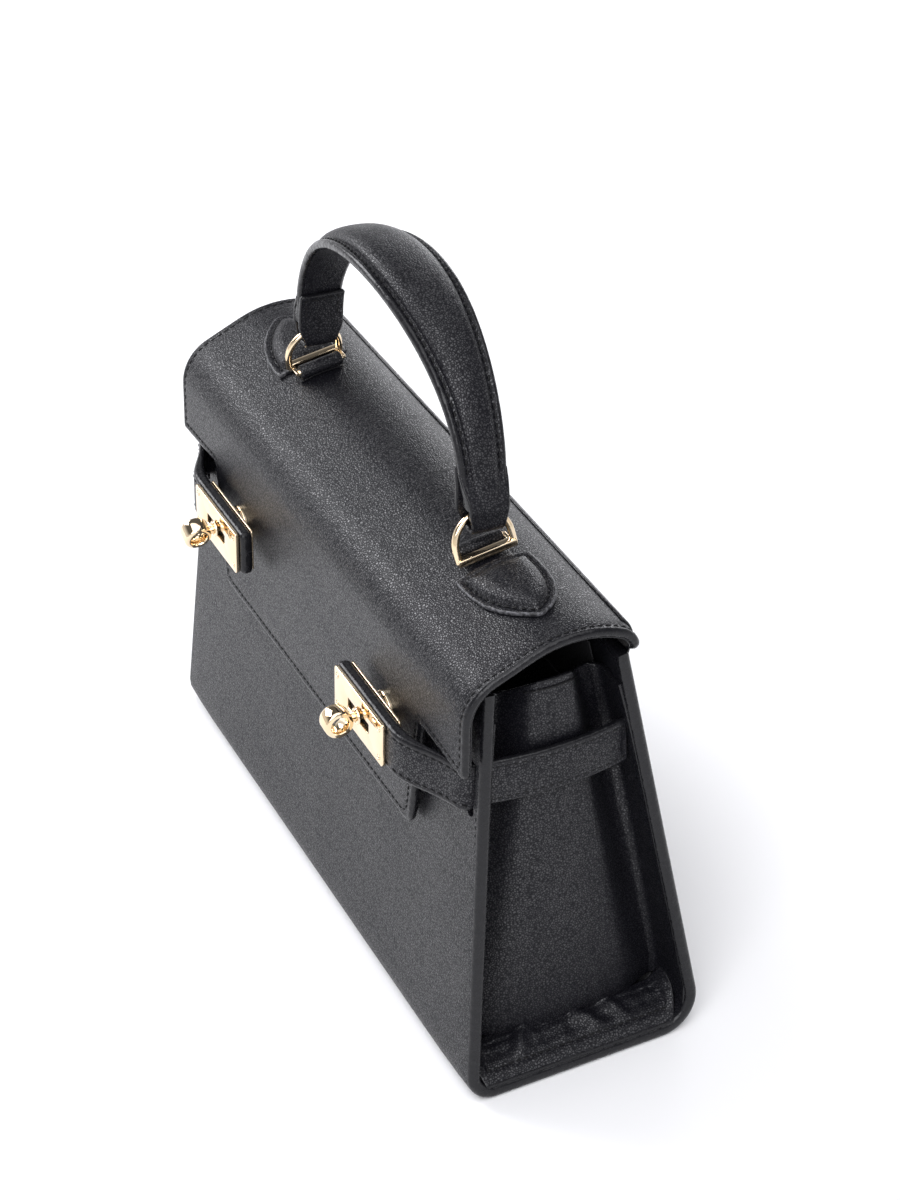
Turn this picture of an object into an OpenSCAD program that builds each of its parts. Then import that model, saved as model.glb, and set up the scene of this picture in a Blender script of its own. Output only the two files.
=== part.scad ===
// Top handle bag: a boxy leather handbag that narrows towards its top, with a domed flap, a padded
// handle on two rings, and two side straps that end in turn-lock plates over the flap's tongue.
// Millimetres. X runs across the bag, -Y is its front, +Z is up. The origin is the middle of the base.

/* [Body] */
// Width across the base
body_w = 260; // [220:1:320]
// Depth at the base, front to back
body_d = 85; // [75:1:110]
// Height of the front and back panels
panel_h = 152; // [135:1:180]
// Width across the panels at their tops
top_w = 234; // [215:1:250]
// Lean of the front and back panels towards each other, in degrees
panel_lean = 7.1; // [5:0.1:8]
// Radius of the fold between front panel and base
front_fold_r = 9; // [6:0.5:14]
// Radius of the fold between back panel and base
back_fold_r = 14; // [8:0.5:18]

/* [Panels] */
// Thickness of the outer leather
leather_t = 1.5; // [1:0.1:2]
// Thickness of the stiffening board inside a panel
board_t = 1.6; // [1:0.1:2.5]
// Thickness of the leather on a panel's inner side
facing_t = 1.3; // [0.8:0.1:2]
// Distance of a board from the panel's top edge
board_margin = 7; // [4:0.5:12]
// Thickness of the textile lining
lining_t = 0.8; // [0.5:0.1:1.5]
// Distance of the lining from the inner faces of the gussets
lining_margin = 8; // [6:0.5:16]
// Width of the inner pocket
pocket_w = 140; // [80:1:180]
// Height of the inner pocket
pocket_h = 78; // [50:1:100]
// Distance of the pocket's foot from the base
pocket_z = 36; // [25:1:45]
// Thickness of the pocket's cloth
pocket_t = 1.2; // [0.8:0.1:2]

/* [Gussets] */
// Thickness of the gusset leather
gusset_t = 1.4; // [1:0.1:2]
// Distance of the gusset behind the panels' side edges, at the base
gusset_low_recess = 15.5; // [10:0.5:20]
// Distance of the gusset behind the panels' side edges, at the top
gusset_high_recess = 8.5; // [8:0.5:14]
// Radius of the gusset's outward bulge
gusset_bulge_r = 120; // [90:1:200]
// Distance of the gusset's top edge under the panels' tops
gusset_drop = 5; // [2:0.5:15]
// Rise of the folded ledge at the gusset's foot, over the base's inner face
ledge_rise = 6.5; // [4:0.5:10]
// Distance of the ledge's outer edge inside the base's end
ledge_inset = 1.5; // [1:0.5:4]

/* [Flap] */
// Width of the flap
flap_w = 243; // [236:1:300]
// Thickness of the flap's leather
flap_leather_t = 2.6; // [2:0.1:4]
// Thickness of the flap's lining
flap_lining_t = 1; // [0.6:0.1:1.5]
// Lean of the flap's front face, in degrees
flap_lean = 3.9; // [2:0.1:6]
// Radius of the flap's front shoulder
shoulder_r = 17.3; // [14:0.1:18.5]
// Slope of the flap above its shoulder, in degrees
flap_slope = 22; // [20:0.5:24]
// Distance of the flap's front face before the front panel, at the straps
flap_room = 7.1; // [6.7:0.1:8]
// Radius of the flap's crown
crown_r = 40; // [38:0.5:42]
// Radius of the flap's rear bend
rear_r = 10; // [9:0.5:12]
// Distance of the tongue's bottom edge above the base
tongue_z = 82.3; // [70:0.1:92]
// Half the tongue's width at its bottom edge
tongue_half_w = 82; // [75:0.5:85]
// Radius of the tongue's bottom corners
tongue_corner_r = 5; // [3:0.5:8]
// Half the distance between the two notches above the tongue
notch_half_w = 89.5; // [86:0.5:92]
// Distance of the ears' tips above the straps
ear_gap = 0.6; // [0.5:0.1:4]
// Rise of the ears' lower edges from the tips to the notches
ear_rise = 1.4; // [0.5:0.1:6]
// Gap between the flap's bead and the back panel
hinge_gap = 0.3; // [0.2:0.05:0.5]
// Rise of the flap's hinge line over the back panel's top
hinge_rise = 0.6; // [0.4:0.1:1]
// Angle that the flap opens to, in degrees
flap_open = 95; // [60:1:95]

/* [Handle] */
// Distance of the handle behind the middle of the bag, negative towards the front
handle_y = -1; // [-4:0.5:4]
// Half the clear span under the handle
handle_half_span = 65; // [60:0.5:80]
// Length of the handle's straight legs
handle_leg = 2.5; // [1:0.5:12]
// Rise of the handle's arch over its legs
handle_rise = 49; // [40:0.5:70]
// Lean of the handle towards the back, in degrees
handle_lean = 4.5; // [0:0.5:6]
// Width of the handle at its ends
handle_end_w = 16; // [14:0.5:16]
// Width of the handle at the middle
handle_mid_w = 28; // [20:0.5:32]
// Thickness of the flat strap under the handle
handle_strap_t = 1.6; // [1.4:0.1:2.5]
// Thickness of the handle's stitched edges
welt_t = 1.8; // [1.8:0.1:3]
// Width of each stitched edge
welt_w = 3.2; // [2:0.1:4]
// Height of the padding over the stitched edges, at the middle
pad_h = 3.6; // [3:0.1:9]
// Height of the padding over the stitched edges, at the ends
pad_end_h = 1.6; // [1.5:0.1:3]
// Thickness of the leather over the padding
cover_t = 1.4; // [1:0.1:1.6]
// Thickness of the leather in the handle's end loops
loop_t = 1.8; // [1.4:0.1:2]
// Length of the folded-back end along the handle's inner side
tab_len = 9; // [4:0.5:20]

/* [Rings] */
// Radius of a ring's bow
ring_r = 9.7; // [9.7:0.1:11]
// Length of the straight legs between bar and bow
ring_leg = 4; // [4:0.1:6]
// Radius of the ring's wire
ring_wire_r = 1.2; // [1:0.05:1.3]
// Lean of the ring towards the middle, in degrees
ring_lean = 14; // [8:0.5:20]
// Width of the ring's flat bar
bar_w = 2.4; // [2:0.1:3]
// Distance from the bar to the pin inside the leather roll
pin_offset = 5.4; // [5:0.1:6]
// Radius of the pin
pin_r = 1.1; // [0.8:0.05:1.2]
// Radial clearance of the pin in the roll
pin_gap = 0.05; // [0.02:0.01:0.1]
// Clearance between the ring's bar and the leather strip under it
ring_gap = 0.6; // [0.5:0.05:1]
// Swivel of a ring to each side, in degrees
ring_swivel = 3; // [1:0.5:3]
// Clearance between a ring and the handle's loop
loop_gap = 0.3; // [0.2:0.05:0.5]
// Radius of the leather roll that holds the pin
roll_r = 2.4; // [2.2:0.1:2.6]
// Length of the leather roll
roll_len = 13; // [10:0.5:14]
// Thickness of the leather strip that runs from the roll to the patch
strip_t = 1; // [0.8:0.1:1.2]
// Length of the stitched patch outside a ring
patch_len = 31; // [22:1:36]
// Width of the stitched patch
patch_w = 29; // [22:0.5:34]
// Thickness of the stitched patch
patch_t = 1.6; // [1:0.1:2.5]
// Gap between the bar and the patch
patch_gap = 3.5; // [1.2:0.1:6]

/* [Straps] */
// Width of the straps
strap_w = 16.6; // [14:0.1:18]
// Thickness of a strap along the bag's side
strap_t = 2.6; // [2:0.1:3]
// Thickness of a strap's end, under its plate
tip_t = 4.6; // [4:0.1:5.5]
// Height of the straps' middle line
strap_z = 117.2; // [112:0.1:120]
// Distance of a strap's slot inside the front panel's side edge
slot_inset = 6; // [5:0.1:8]
// Outward bulge of a strap along the side
strap_bulge = 3; // [2:0.1:5]
// Clearance of a strap in its slot
slot_gap = 0.4; // [0.3:0.05:0.8]
// Radius of the punched hole at a slot's foot
punch_r = 2.2; // [1.5:0.1:3]
// Length by which the fixed strap stands out of its slot
slot_stub = 2; // [1.5:0.1:2.5]
// Clearance between the fixed strap and the turning one
strap_gap = 0.4; // [0.3:0.05:0.6]
// Length of the stretch that rises from the slot to the tongue
ramp_len = 16; // [14:0.5:18]

/* [Locks] */
// Distance of a lock's middle from the middle of the bag
lock_x = 63.4; // [58:0.1:65]
// Length of the lock's plate
plate_l = 38.7; // [34:0.1:40]
// Height of the lock's plate
plate_h = 16.1; // [13:0.1:16.6]
// Thickness of the lock's plate
plate_t = 1.4; // [1:0.1:2]
// Thickness of the plate behind the strap's end
back_plate_t = 0.8; // [0.5:0.1:1.2]
// Length of the strap's leather past the plate
tip_margin = 2; // [1:0.1:3]
// Radius of the plate's corners
plate_corner_r = 1.2; // [0.5:0.1:2.5]
// Length of the plate's slot
keyhole_l = 17; // [12:0.1:20]
// Height of the plate's slot
keyhole_h = 3.8; // [3.8:0.1:4.6]
// Distance of the plate's screws from its edges
screw_inset = 2.6; // [2:0.1:3.5]
// Radius of the screws' heads
screw_r = 1; // [0.7:0.1:1.3]
// Height of the screws' heads over the plate
screw_h = 0.4; // [0.3:0.1:0.8]
// Radius of the snap discs
snap_r = 6.5; // [5:0.1:8]
// Thickness of each snap disc
snap_t = 1.5; // [1:0.1:2]
// Gap between the two snap discs
snap_gap = 0.3; // [0.2:0.05:0.5]
// Radius of the toggle's stem
stem_r = 1.7; // [1.4:0.05:1.75]
// Height of the toggle's head over the plate
toggle_stand = 2.5; // [2:0.1:4]
// Outer radius of the toggle's tube
toggle_r = 5; // [4:0.1:6]
// Radius of the toggle's hole
toggle_hole_r = 2.9; // [2:0.1:3.4]
// Length of the toggle's tube
toggle_len = 6.6; // [5:0.1:8]
// Turn of the left toggle at rest, in degrees
toggle_turn = 20; // [0:5:45]
// Radius of the flange that holds the stem under the plate
flange_r = 3.1; // [2.6:0.1:3.6]
// Thickness of that flange
flange_t = 0.8; // [0.5:0.1:1.2]
// Clearance round the flange
flange_gap = 0.2; // [0.1:0.05:0.4]

/* [Hidden] */
$fn = 64;

leather_col = [0.09, 0.09, 0.1];
edge_col = [0.16, 0.16, 0.17];
lining_col = [0.13, 0.13, 0.14];
board_col = [0.55, 0.5, 0.42];
foam_col = [0.8, 0.78, 0.7];
gold_col = [0.93, 0.76, 0.46];

// One overrun serves every cut, and one gap parts layers that lie on each other's curves
cut = 4 * body_d;
layer_gap = 0.1;
shell_t = leather_t + board_t + facing_t;
flap_t = flap_leather_t + flap_lining_t;

// A direction from an angle, the points of an arc, and a list in its other order
function dir(a) = [cos(a), sin(a)];
arc_n = 12;
function arc_points(c, r, a0, a1) = [for (i = [0:arc_n]) c + r * dir(a0 + (a1 - a0) * i / arc_n)];
function backwards(points) = [for (k = [len(points) - 1:-1:0]) points[k]];

// Body section: the two fold centres, and the faces that run up from them
front_c = [-body_d / 2 + front_fold_r, front_fold_r];
back_c = [body_d / 2 - back_fold_r, back_fold_r];
function front_foot(inset) = front_c + (front_fold_r - inset) * dir(180 - panel_lean);
function back_foot(inset) = back_c + (back_fold_r - inset) * dir(panel_lean);
function front_y(z, inset) = front_foot(inset)[0] + (z - front_foot(inset)[1]) * tan(panel_lean);
function back_y(z, inset) = back_foot(inset)[0] - (z - back_foot(inset)[1]) * tan(panel_lean);
side_slope = (body_w - top_w) / 2 / panel_h;
function half_w(z) = body_w / 2 - side_slope * z;

// Flap section, built from the hinge line forwards: each arc ends at an outward direction in degrees
hinge_dir = -17.5;
crown_dir = 64;
slope_dir = 90 + flap_slope;
front_dir = 180 - flap_lean;
hinge = [back_y(panel_h, 0), panel_h + hinge_rise];
rear_c = hinge - (rear_r - flap_t / 2) * dir(hinge_dir);
crown_c = rear_c + (rear_r - crown_r) * dir(crown_dir);
slope_top = crown_c + crown_r * dir(slope_dir);
near_top = slope_top + shoulder_r * (dir(front_dir) - dir(slope_dir));
near_y = near_top[0] - (near_top[1] - strap_z) * tan(flap_lean);
slope_advance = cos(flap_slope) - sin(flap_slope) * tan(flap_lean);
slope_len = (near_y - front_y(strap_z, 0) + flap_room) / slope_advance;
slope_foot = slope_top - slope_len * dir(flap_slope);
shoulder_c = slope_foot - shoulder_r * dir(slope_dir);
front_top = shoulder_c + shoulder_r * dir(front_dir);
front_end = front_top + (front_top[1] - tongue_z + flap_t) * dir(front_dir + 90);
function flap_front_y(z) = front_top[0] - (front_top[1] - z) * tan(flap_lean);
ear_z = strap_z + strap_w / 2 + ear_gap;
notch_z = ear_z + ear_rise;

// Lock frame: on the flap's front face and leaning with it, with -Y outwards
lock_y = flap_front_y(strap_z);
magnet_y = -snap_t - snap_gap - snap_t;
tip_back_y = magnet_y - back_plate_t;
tip_face_y = tip_back_y - tip_t;
plate_face_y = tip_face_y - plate_t;
pivot_x = half_w(strap_z) - slot_inset;
stub_y = front_y(strap_z, 0) - lock_y - slot_stub;
pivot_y = stub_y - strap_gap - strap_t / 2;
tip_inner_x = lock_x - plate_l / 2 - tip_margin;
tip_outer_x = lock_x + plate_l / 2 + tip_margin;
screw_hole_r = screw_r / 2 + layer_gap;
pocket_depth = flange_t + 2 * flange_gap;

// Rings: the bar lies over the strip on the crown, and the bow leans in from it
ring_z = crown_c[1] + crown_r + strip_t + ring_gap + bar_w / 2;
bow_z = ring_z + ring_leg * cos(ring_lean);
bow_reach = ring_leg + ring_r;
bow_swing = bow_reach * sin(ring_swivel);
ring_x = handle_half_span + loop_gap + bow_swing + ring_wire_r + bow_reach * sin(ring_lean);
pin_x = ring_x - pin_offset;
patch_x = ring_x + bar_w / 2 + patch_gap;

// Handle loop: a cavity round the part of the bow inside the loop, with room for its swivel
bow_low = sqrt(pow(ring_r - ring_wire_r, 2) - pow(handle_end_w / 2, 2));
cavity_x = ring_x - (ring_leg + bow_low) * sin(ring_lean) + ring_wire_r + bow_swing + loop_gap;
cavity_z0 = bow_z + bow_low * cos(ring_lean) - loop_gap;
cavity_z1 = bow_z + ring_r * cos(ring_lean) + ring_wire_r + loop_gap;
loop_top = cavity_z1 + loop_t;
leg_z = loop_top + handle_leg;
arch_n = 36;
crown_n = 8;

module along_x(len) {
    translate([-len / 2, 0, 0]) rotate([90, 0, 90]) linear_extrude(len) children();
}

module along_y(len) {
    translate([0, len / 2, 0]) rotate([90, 0, 0]) linear_extrude(len) children();
}

module y_range(y0, y1) {
    translate([-cut / 2, y0, -cut / 2]) cube([cut, y1 - y0, cut]);
}

module z_range(z0, z1) {
    translate([-cut / 2, -cut / 2, z0]) cube([cut, cut, z1 - z0]);
}

// The right-hand piece, or its mirror image for the left
module on_side(side) {
    mirror([side < 0 ? 1 : 0, 0, 0]) children();
}

module rounded_box(x0, x1, z0, z1, r) {
    translate([x0 + r, z0]) square([x1 - x0 - 2 * r, z1 - z0]);
    translate([x0, z0 + r]) square([x1 - x0, z1 - z0 - 2 * r]);
    for (x = [x0 + r, x1 - r], z = [z0 + r, z1 - r])
        translate([x, z]) circle(r);
}

// The body's outline from the side, drawn in by a distance
module body_outline(inset, top = panel_h) {
    polygon(concat(
        [[front_y(top, inset), top]],
        arc_points(front_c, front_fold_r - inset, 180 - panel_lean, 270),
        arc_points(back_c, back_fold_r - inset, -90, panel_lean),
        [[back_y(top, inset), top]]
    ));
}

// The panels' outline from the front, drawn in at its sides
module front_outline(inset) {
    polygon([
        [-half_w(0) + inset, 0],
        [half_w(0) - inset, 0],
        [half_w(panel_h) - inset, panel_h],
        [-half_w(panel_h) + inset, panel_h]
    ]);
}

module wall(outer, inner, side_inset) {
    intersection() {
        along_x(cut) difference() {
            body_outline(outer);
            body_outline(inner, cut);
        }
        along_y(cut) front_outline(side_inset);
    }
}

module inner_room(inset) {
    along_x(cut) body_outline(inset);
}

// The base's share of the wall lies between the two fold centres
module base_zone() {
    translate([-cut / 2, front_c[0], 0]) cube([cut, back_c[0] - front_c[0], front_fold_r]);
}

module board(y0, y1) {
    intersection() {
        wall(leather_t, leather_t + board_t, slot_inset + strap_t + slot_gap);
        y_range(y0, y1);
        z_range(front_fold_r + back_fold_r, panel_h - board_margin);
    }
}

// Room that the flap's bead and its opened rear need at the back panel's top
module hinge_room() {
    along_x(cut) translate(hinge) {
        circle(flap_t / 2 + hinge_gap);
        rotate(90 + hinge_dir - flap_open)
            translate([0, -flap_t / 2 - hinge_gap])
            square([rear_r, flap_t + 2 * hinge_gap]);
    }
}

module slot_cut(side) {
    slot_w = strap_t + 2 * slot_gap;
    foot_z = strap_z - strap_w / 2 - slot_gap;
    on_side(side) translate([pivot_x, -cut, 0]) {
        translate([-slot_w / 2, 0, foot_z]) cube([slot_w, cut, strap_w + 2 * slot_gap]);
        translate([0, 0, foot_z]) rotate([-90, 0, 0]) cylinder(h = cut, r = punch_r);
    }
}

module front_panel() {
    color(leather_col) difference() {
        intersection() {
            wall(0, shell_t, 0);
            y_range(-body_d, 0);
        }
        base_zone();
        board(-body_d, 0);
        slot_cut(1);
        slot_cut(-1);
    }
}

module back_panel() {
    color(leather_col) difference() {
        intersection() {
            wall(0, shell_t, 0);
            y_range(0, body_d);
        }
        base_zone();
        board(0, body_d);
        hinge_room();
    }
}

module base_panel() {
    color(leather_col) difference() {
        intersection() {
            wall(0, shell_t, 0);
            base_zone();
        }
        base_board();
    }
}

module front_board() {
    color(board_col) board(-body_d, 0);
}

module back_board() {
    color(board_col) board(0, body_d);
}

module base_board() {
    board_l = body_w - 2 * gusset_low_recess;
    board_d = back_c[0] - front_c[0] - board_margin;
    color(board_col)
        translate([-board_l / 2, (front_c[0] + back_c[0] - board_d) / 2, leather_t])
        cube([board_l, board_d, board_t]);
}

module lining_wall() {
    inset = shell_t + layer_gap;
    intersection() {
        wall(inset, inset + lining_t, gusset_low_recess + gusset_t + lining_margin);
        z_range(0, panel_h - board_margin);
    }
}

module front_lining() {
    color(lining_col) difference() {
        lining_wall();
        y_range(0, body_d);
        base_zone();
    }
}

module base_lining() {
    color(lining_col) intersection() {
        lining_wall();
        base_zone();
    }
}

module back_lining() {
    color(lining_col) difference() {
        lining_wall();
        y_range(-body_d, 0);
        base_zone();
    }
}

module slip_pocket() {
    inset = shell_t + layer_gap + lining_t;
    color(lining_col) intersection() {
        wall(inset, inset + pocket_t, 0);
        translate([-pocket_w / 2, 0, pocket_z]) cube([pocket_w, body_d, pocket_h]);
    }
}

// A gusset leans more than the panels' edges, and bulges outwards in the middle
gusset_top = panel_h - gusset_drop;
gusset_low_x = half_w(0) - gusset_low_recess;
gusset_high_x = half_w(gusset_top) - gusset_high_recess;
gusset_tilt = atan((gusset_low_x - gusset_high_x) / gusset_top);
ledge_z = shell_t + ledge_rise;

// The inner faces of the front and back walls at a height, folds included
function room_front(z, inset) =
    z > front_foot(inset)[1] ? front_y(z, inset) :
    front_c[0] - sqrt(pow(front_fold_r - inset, 2) - pow(front_c[1] - z, 2));
function room_back(z, inset) =
    z > back_foot(inset)[1] ? back_y(z, inset) :
    back_c[0] + sqrt(pow(back_fold_r - inset, 2) - pow(back_c[1] - z, 2));

// The room between the walls from one height to another
module room(z0, z1, inset) {
    middle_z = (z0 + back_foot(inset)[1]) / 2;
    heights = [z0, middle_z, back_foot(inset)[1], z1];
    along_x(cut) polygon(concat(
        [for (z = heights) [room_front(z, inset), z]],
        backwards([for (z = heights) [room_back(z, inset), z]])
    ));
}

module gusset_wall(depth, t, z0, inset) {
    spread = asin(body_d / 2 / gusset_bulge_r);
    centre = [-gusset_bulge_r, 0];
    intersection() {
        translate([gusset_low_x, 0, 0]) rotate([0, -gusset_tilt, 0]) linear_extrude(cut)
            polygon(concat(
                arc_points(centre, gusset_bulge_r - depth, -spread, spread),
                arc_points(centre, gusset_bulge_r - depth - t, spread, -spread)
            ));
        room(z0, gusset_top, inset);
    }
}

module gusset_ledge() {
    foot_x = half_w(0) - ledge_inset;
    back_x = gusset_low_x - pow(body_d / 2, 2) / 2 / gusset_bulge_r - gusset_t;
    foot_z = shell_t + layer_gap;
    intersection() {
        along_y(cut) polygon([
            [foot_x, foot_z],
            [foot_x, foot_z + gusset_t],
            [gusset_low_x, ledge_z + gusset_t],
            [back_x, ledge_z + gusset_t],
            [back_x, ledge_z],
            [gusset_low_x, ledge_z],
            [foot_x - gusset_t, foot_z]
        ]);
        room(foot_z, gusset_top, foot_z);
    }
}

module gusset(side) {
    color(leather_col) on_side(side) {
        gusset_wall(0, gusset_t, ledge_z, shell_t + layer_gap);
        gusset_ledge();
    }
}

module gusset_left() {
    gusset(-1);
}

module gusset_right() {
    gusset(1);
}

module gusset_lining(side) {
    color(lining_col) on_side(side)
        gusset_wall(gusset_t + layer_gap, lining_t, ledge_z + gusset_t + layer_gap,
            shell_t + layer_gap + lining_t);
}

module gusset_lining_left() {
    gusset_lining(-1);
}

module gusset_lining_right() {
    gusset_lining(1);
}

module lock_frame(side) {
    on_side(side) translate([0, lock_y, strap_z]) rotate([-flap_lean, 0, 0]) children();
}

// A strap along the bag's side bows outwards between the panels, then runs through the front slot
module side_strap(side) {
    inset = shell_t + layer_gap;
    y0 = front_y(strap_z, inset);
    y1 = back_y(strap_z, inset);
    bow_r = (pow((y1 - y0) / 2, 2) + pow(strap_bulge, 2)) / 2 / strap_bulge;
    color(leather_col) on_side(side) {
        intersection() {
            translate([pivot_x + strap_bulge - bow_r, (y0 + y1) / 2, strap_z - strap_w / 2])
                difference() {
                    cylinder(h = strap_w, r = bow_r + strap_t / 2);
                    translate([0, 0, -cut / 2]) cylinder(h = cut, r = bow_r - strap_t / 2);
                }
            inner_room(inset);
            translate([pivot_x - strap_t, y0 - shell_t, 0]) cube([cut, y1 - y0 + 2 * shell_t, cut]);
        }
        intersection() {
            translate([pivot_x - strap_t / 2, y0 - cut, strap_z - strap_w / 2])
                cube([strap_t, cut + strap_t, strap_w]);
            translate([0, lock_y, strap_z]) rotate([-flap_lean, 0, 0])
                y_range(stub_y, cut);
        }
    }
}

module side_strap_left() {
    side_strap(-1);
}

module side_strap_right() {
    side_strap(1);
}

// The flap's section, from the hinge line to past the tongue's end, at a distance outside its face
function flap_path(d) = concat(
    arc_points(rear_c, rear_r + d, hinge_dir, crown_dir),
    arc_points(crown_c, crown_r + d, crown_dir, slope_dir),
    arc_points(shoulder_c, shoulder_r + d, slope_dir, front_dir),
    [front_end + d * dir(front_dir)]
);
// The half circle that rounds the flap's rear edge on the hinge line
bead = arc_points(hinge, flap_t / 2, hinge_dir - 180, hinge_dir);

module flap_band(d0, d1) {
    polygon(concat(flap_path(d1), backwards(flap_path(d0))));
}

// The flap's outline from the front: ears at the sides, and a tongue with rounded corners
module flap_outline() {
    side_a = atan((notch_z - tongue_z) / (notch_half_w - tongue_half_w));
    run = tongue_corner_r / tan(90 - side_a / 2);
    side_point = [tongue_half_w, tongue_z] + run * dir(side_a);
    polygon([
        [-flap_w / 2, cut],
        [-flap_w / 2, ear_z],
        [-notch_half_w, notch_z],
        [-side_point[0], side_point[1]],
        [-tongue_half_w + run, tongue_z],
        [tongue_half_w - run, tongue_z],
        side_point,
        [notch_half_w, notch_z],
        [flap_w / 2, ear_z],
        [flap_w / 2, cut]
    ]);
    for (side = [-1, 1])
        translate([side * (tongue_half_w - run), tongue_z + tongue_corner_r])
            circle(tongue_corner_r);
}

module flap_layer() {
    intersection() {
        along_x(flap_w) children();
        along_y(cut) flap_outline();
    }
}

module flap_leather() {
    color(leather_col) flap_layer()
        polygon(concat(bead, flap_path(0), backwards(flap_path(-flap_leather_t))));
}

module flap_lining() {
    color(lining_col) flap_layer() flap_band(-flap_t, -flap_leather_t);
}

// A half-oval patch on the flap's crown, outside the ring
module ring_patch(side) {
    color(leather_col) on_side(side) intersection() {
        along_x(cut) flap_band(layer_gap / 2, patch_t);
        union() {
            translate([patch_x, handle_y - patch_w / 2, 0])
                cube([patch_len - patch_w / 2, patch_w, cut]);
            translate([patch_x + patch_len - patch_w / 2, handle_y, 0])
                cylinder(h = cut, r = patch_w / 2);
        }
    }
}

module ring_patch_left() {
    ring_patch(-1);
}

module ring_patch_right() {
    ring_patch(1);
}

// The roll round a ring's pin, and the strip that runs from it under the bar to the patch
module ring_roll(side) {
    color(leather_col) on_side(side) difference() {
        union() {
            intersection() {
                along_x(cut) flap_band(layer_gap / 2, strip_t);
                translate([pin_x, handle_y - roll_len / 2, 0])
                    cube([patch_x - pin_x, roll_len, cut]);
            }
            translate([pin_x, handle_y, ring_z]) rotate([90, 0, 0])
                cylinder(h = roll_len, r = roll_r, center = true);
        }
        translate([pin_x, handle_y, ring_z]) rotate([90, 0, 0])
            cylinder(h = cut, r = pin_r + pin_gap, center = true);
    }
}

module ring_roll_left() {
    ring_roll(-1);
}

module ring_roll_right() {
    ring_roll(1);
}

// A ring: a flat bar, a pin beside it on two cheeks, and a bow of round wire that leans in
module ring(side) {
    bar_l = 2 * (ring_r + ring_wire_r);
    color(gold_col) on_side(side) translate([ring_x, handle_y, ring_z]) {
        cube([bar_w, bar_l, bar_w], center = true);
        translate([-pin_offset, 0, 0]) rotate([90, 0, 0])
            cylinder(h = bar_l, r = pin_r, center = true);
        for (y = [-ring_r, ring_r]) {
            translate([-pin_offset - pin_r, y - ring_wire_r, -bar_w / 2])
                cube([pin_offset + pin_r, 2 * ring_wire_r, bar_w]);
        }
        rotate([0, -ring_lean, 0]) {
            for (y = [-ring_r, ring_r])
                translate([0, y, 0]) cylinder(h = ring_leg, r = ring_wire_r);
            translate([0, 0, ring_leg]) rotate([90, 0, 90])
                rotate_extrude(angle = 180) translate([ring_r, 0]) circle(ring_wire_r);
        }
    }
}

module ring_left() {
    ring(-1);
}

module ring_right() {
    ring(1);
}

// A point of the handle's arch at a station along it, a height outside its underside
function arch_point(i, h) =
    i < 0 ? [handle_half_span + h, loop_top] :
    i > arch_n ? [-handle_half_span - h, loop_top] :
    let(
        t = 180 * i / arch_n,
        across = [handle_rise * cos(t), handle_half_span * sin(t)],
        foot = [handle_half_span * cos(t), leg_z + handle_rise * sin(t)]
    )
    foot + h * across / norm(across);

// How far a station lies towards the middle of the handle, from 0 to 1
function mid_share(i) = pow(sin(180 * min(max(i, 0), arch_n) / arch_n), 2);
function handle_half(i) = (handle_end_w + (handle_mid_w - handle_end_w) * mid_share(i)) / 2;
function handle_pad(i) = pad_end_h + (pad_h - pad_end_h) * mid_share(i);

// An arc over the handle from one side to the other, as points across and up
function crown_arc(half, base, rise, n) = [
    for (k = [0:n])
        let(a = 180 - 180 * k / n)
        [half * cos(a), base + rise * sin(a)]
];
// Triangles that close a solid section, and a hollow one whose inner points run back under its outer
function fan(n) = [for (k = [1:n - 2]) [0, k, k + 1]];
function strip(n) = [
    for (k = [0:n / 2 - 2])
        each [[k, k + 1, n - 2 - k], [k, n - 2 - k, n - 1 - k]]
];

// Leans the handle back about the middle of the rings' bows
module leaned() {
    translate([0, handle_y, bow_z]) rotate([-handle_lean, 0, 0])
        translate([0, -handle_y, -bow_z]) children();
}

// Sweeps one section per station along the handle
module handle_sweep(sections, cap) {
    n = len(sections[0]);
    last = (len(sections) - 1) * n;
    points = [
        for (i = [0:len(sections) - 1], p = sections[i])
            let(q = arch_point(i - 1, p[1]))
            [q[0], handle_y + p[0], q[1]]
    ];
    sides = [
        for (i = [0:len(sections) - 2], k = [0:n - 1])
            let(a = i * n + k, b = i * n + (k + 1) % n)
            each [[a, a + n, b], [b, a + n, b + n]]
    ];
    far_cap = [for (t = cap) [last + t[2], last + t[1], last + t[0]]];
    leaned() polyhedron(points, concat(sides, cap, far_cap));
}

module handle_cover() {
    base = handle_strap_t + layer_gap;
    color(leather_col) handle_sweep([
        for (i = [-1:arch_n + 1])
            let(half = handle_half(i), crown = half - welt_w, rise = handle_pad(i))
            concat(
                [[-half, base], [-half, base + welt_t]],
                crown_arc(crown, base + welt_t, rise, crown_n),
                [[half, base + welt_t], [half, base]],
                backwards(crown_arc(crown - cover_t, base, welt_t + rise - cover_t, crown_n + 4))
            )
    ], strip(2 * crown_n + 10));
}

module handle_core() {
    base = handle_strap_t + layer_gap;
    shrink = cover_t + layer_gap;
    color(foam_col) handle_sweep([
        for (i = [-1:arch_n + 1])
            let(crown = handle_half(i) - welt_w, rise = handle_pad(i))
            crown_arc(crown - shrink, base, welt_t + rise - shrink, crown_n)
    ], fan(crown_n + 1));
}

module handle_strap() {
    color(edge_col) handle_sweep([
        for (i = [-1:arch_n + 1])
            let(half = handle_half(i))
            [[-half, 0], [-half, handle_strap_t], [half, handle_strap_t], [half, 0]]
    ], fan(4));
}

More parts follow.
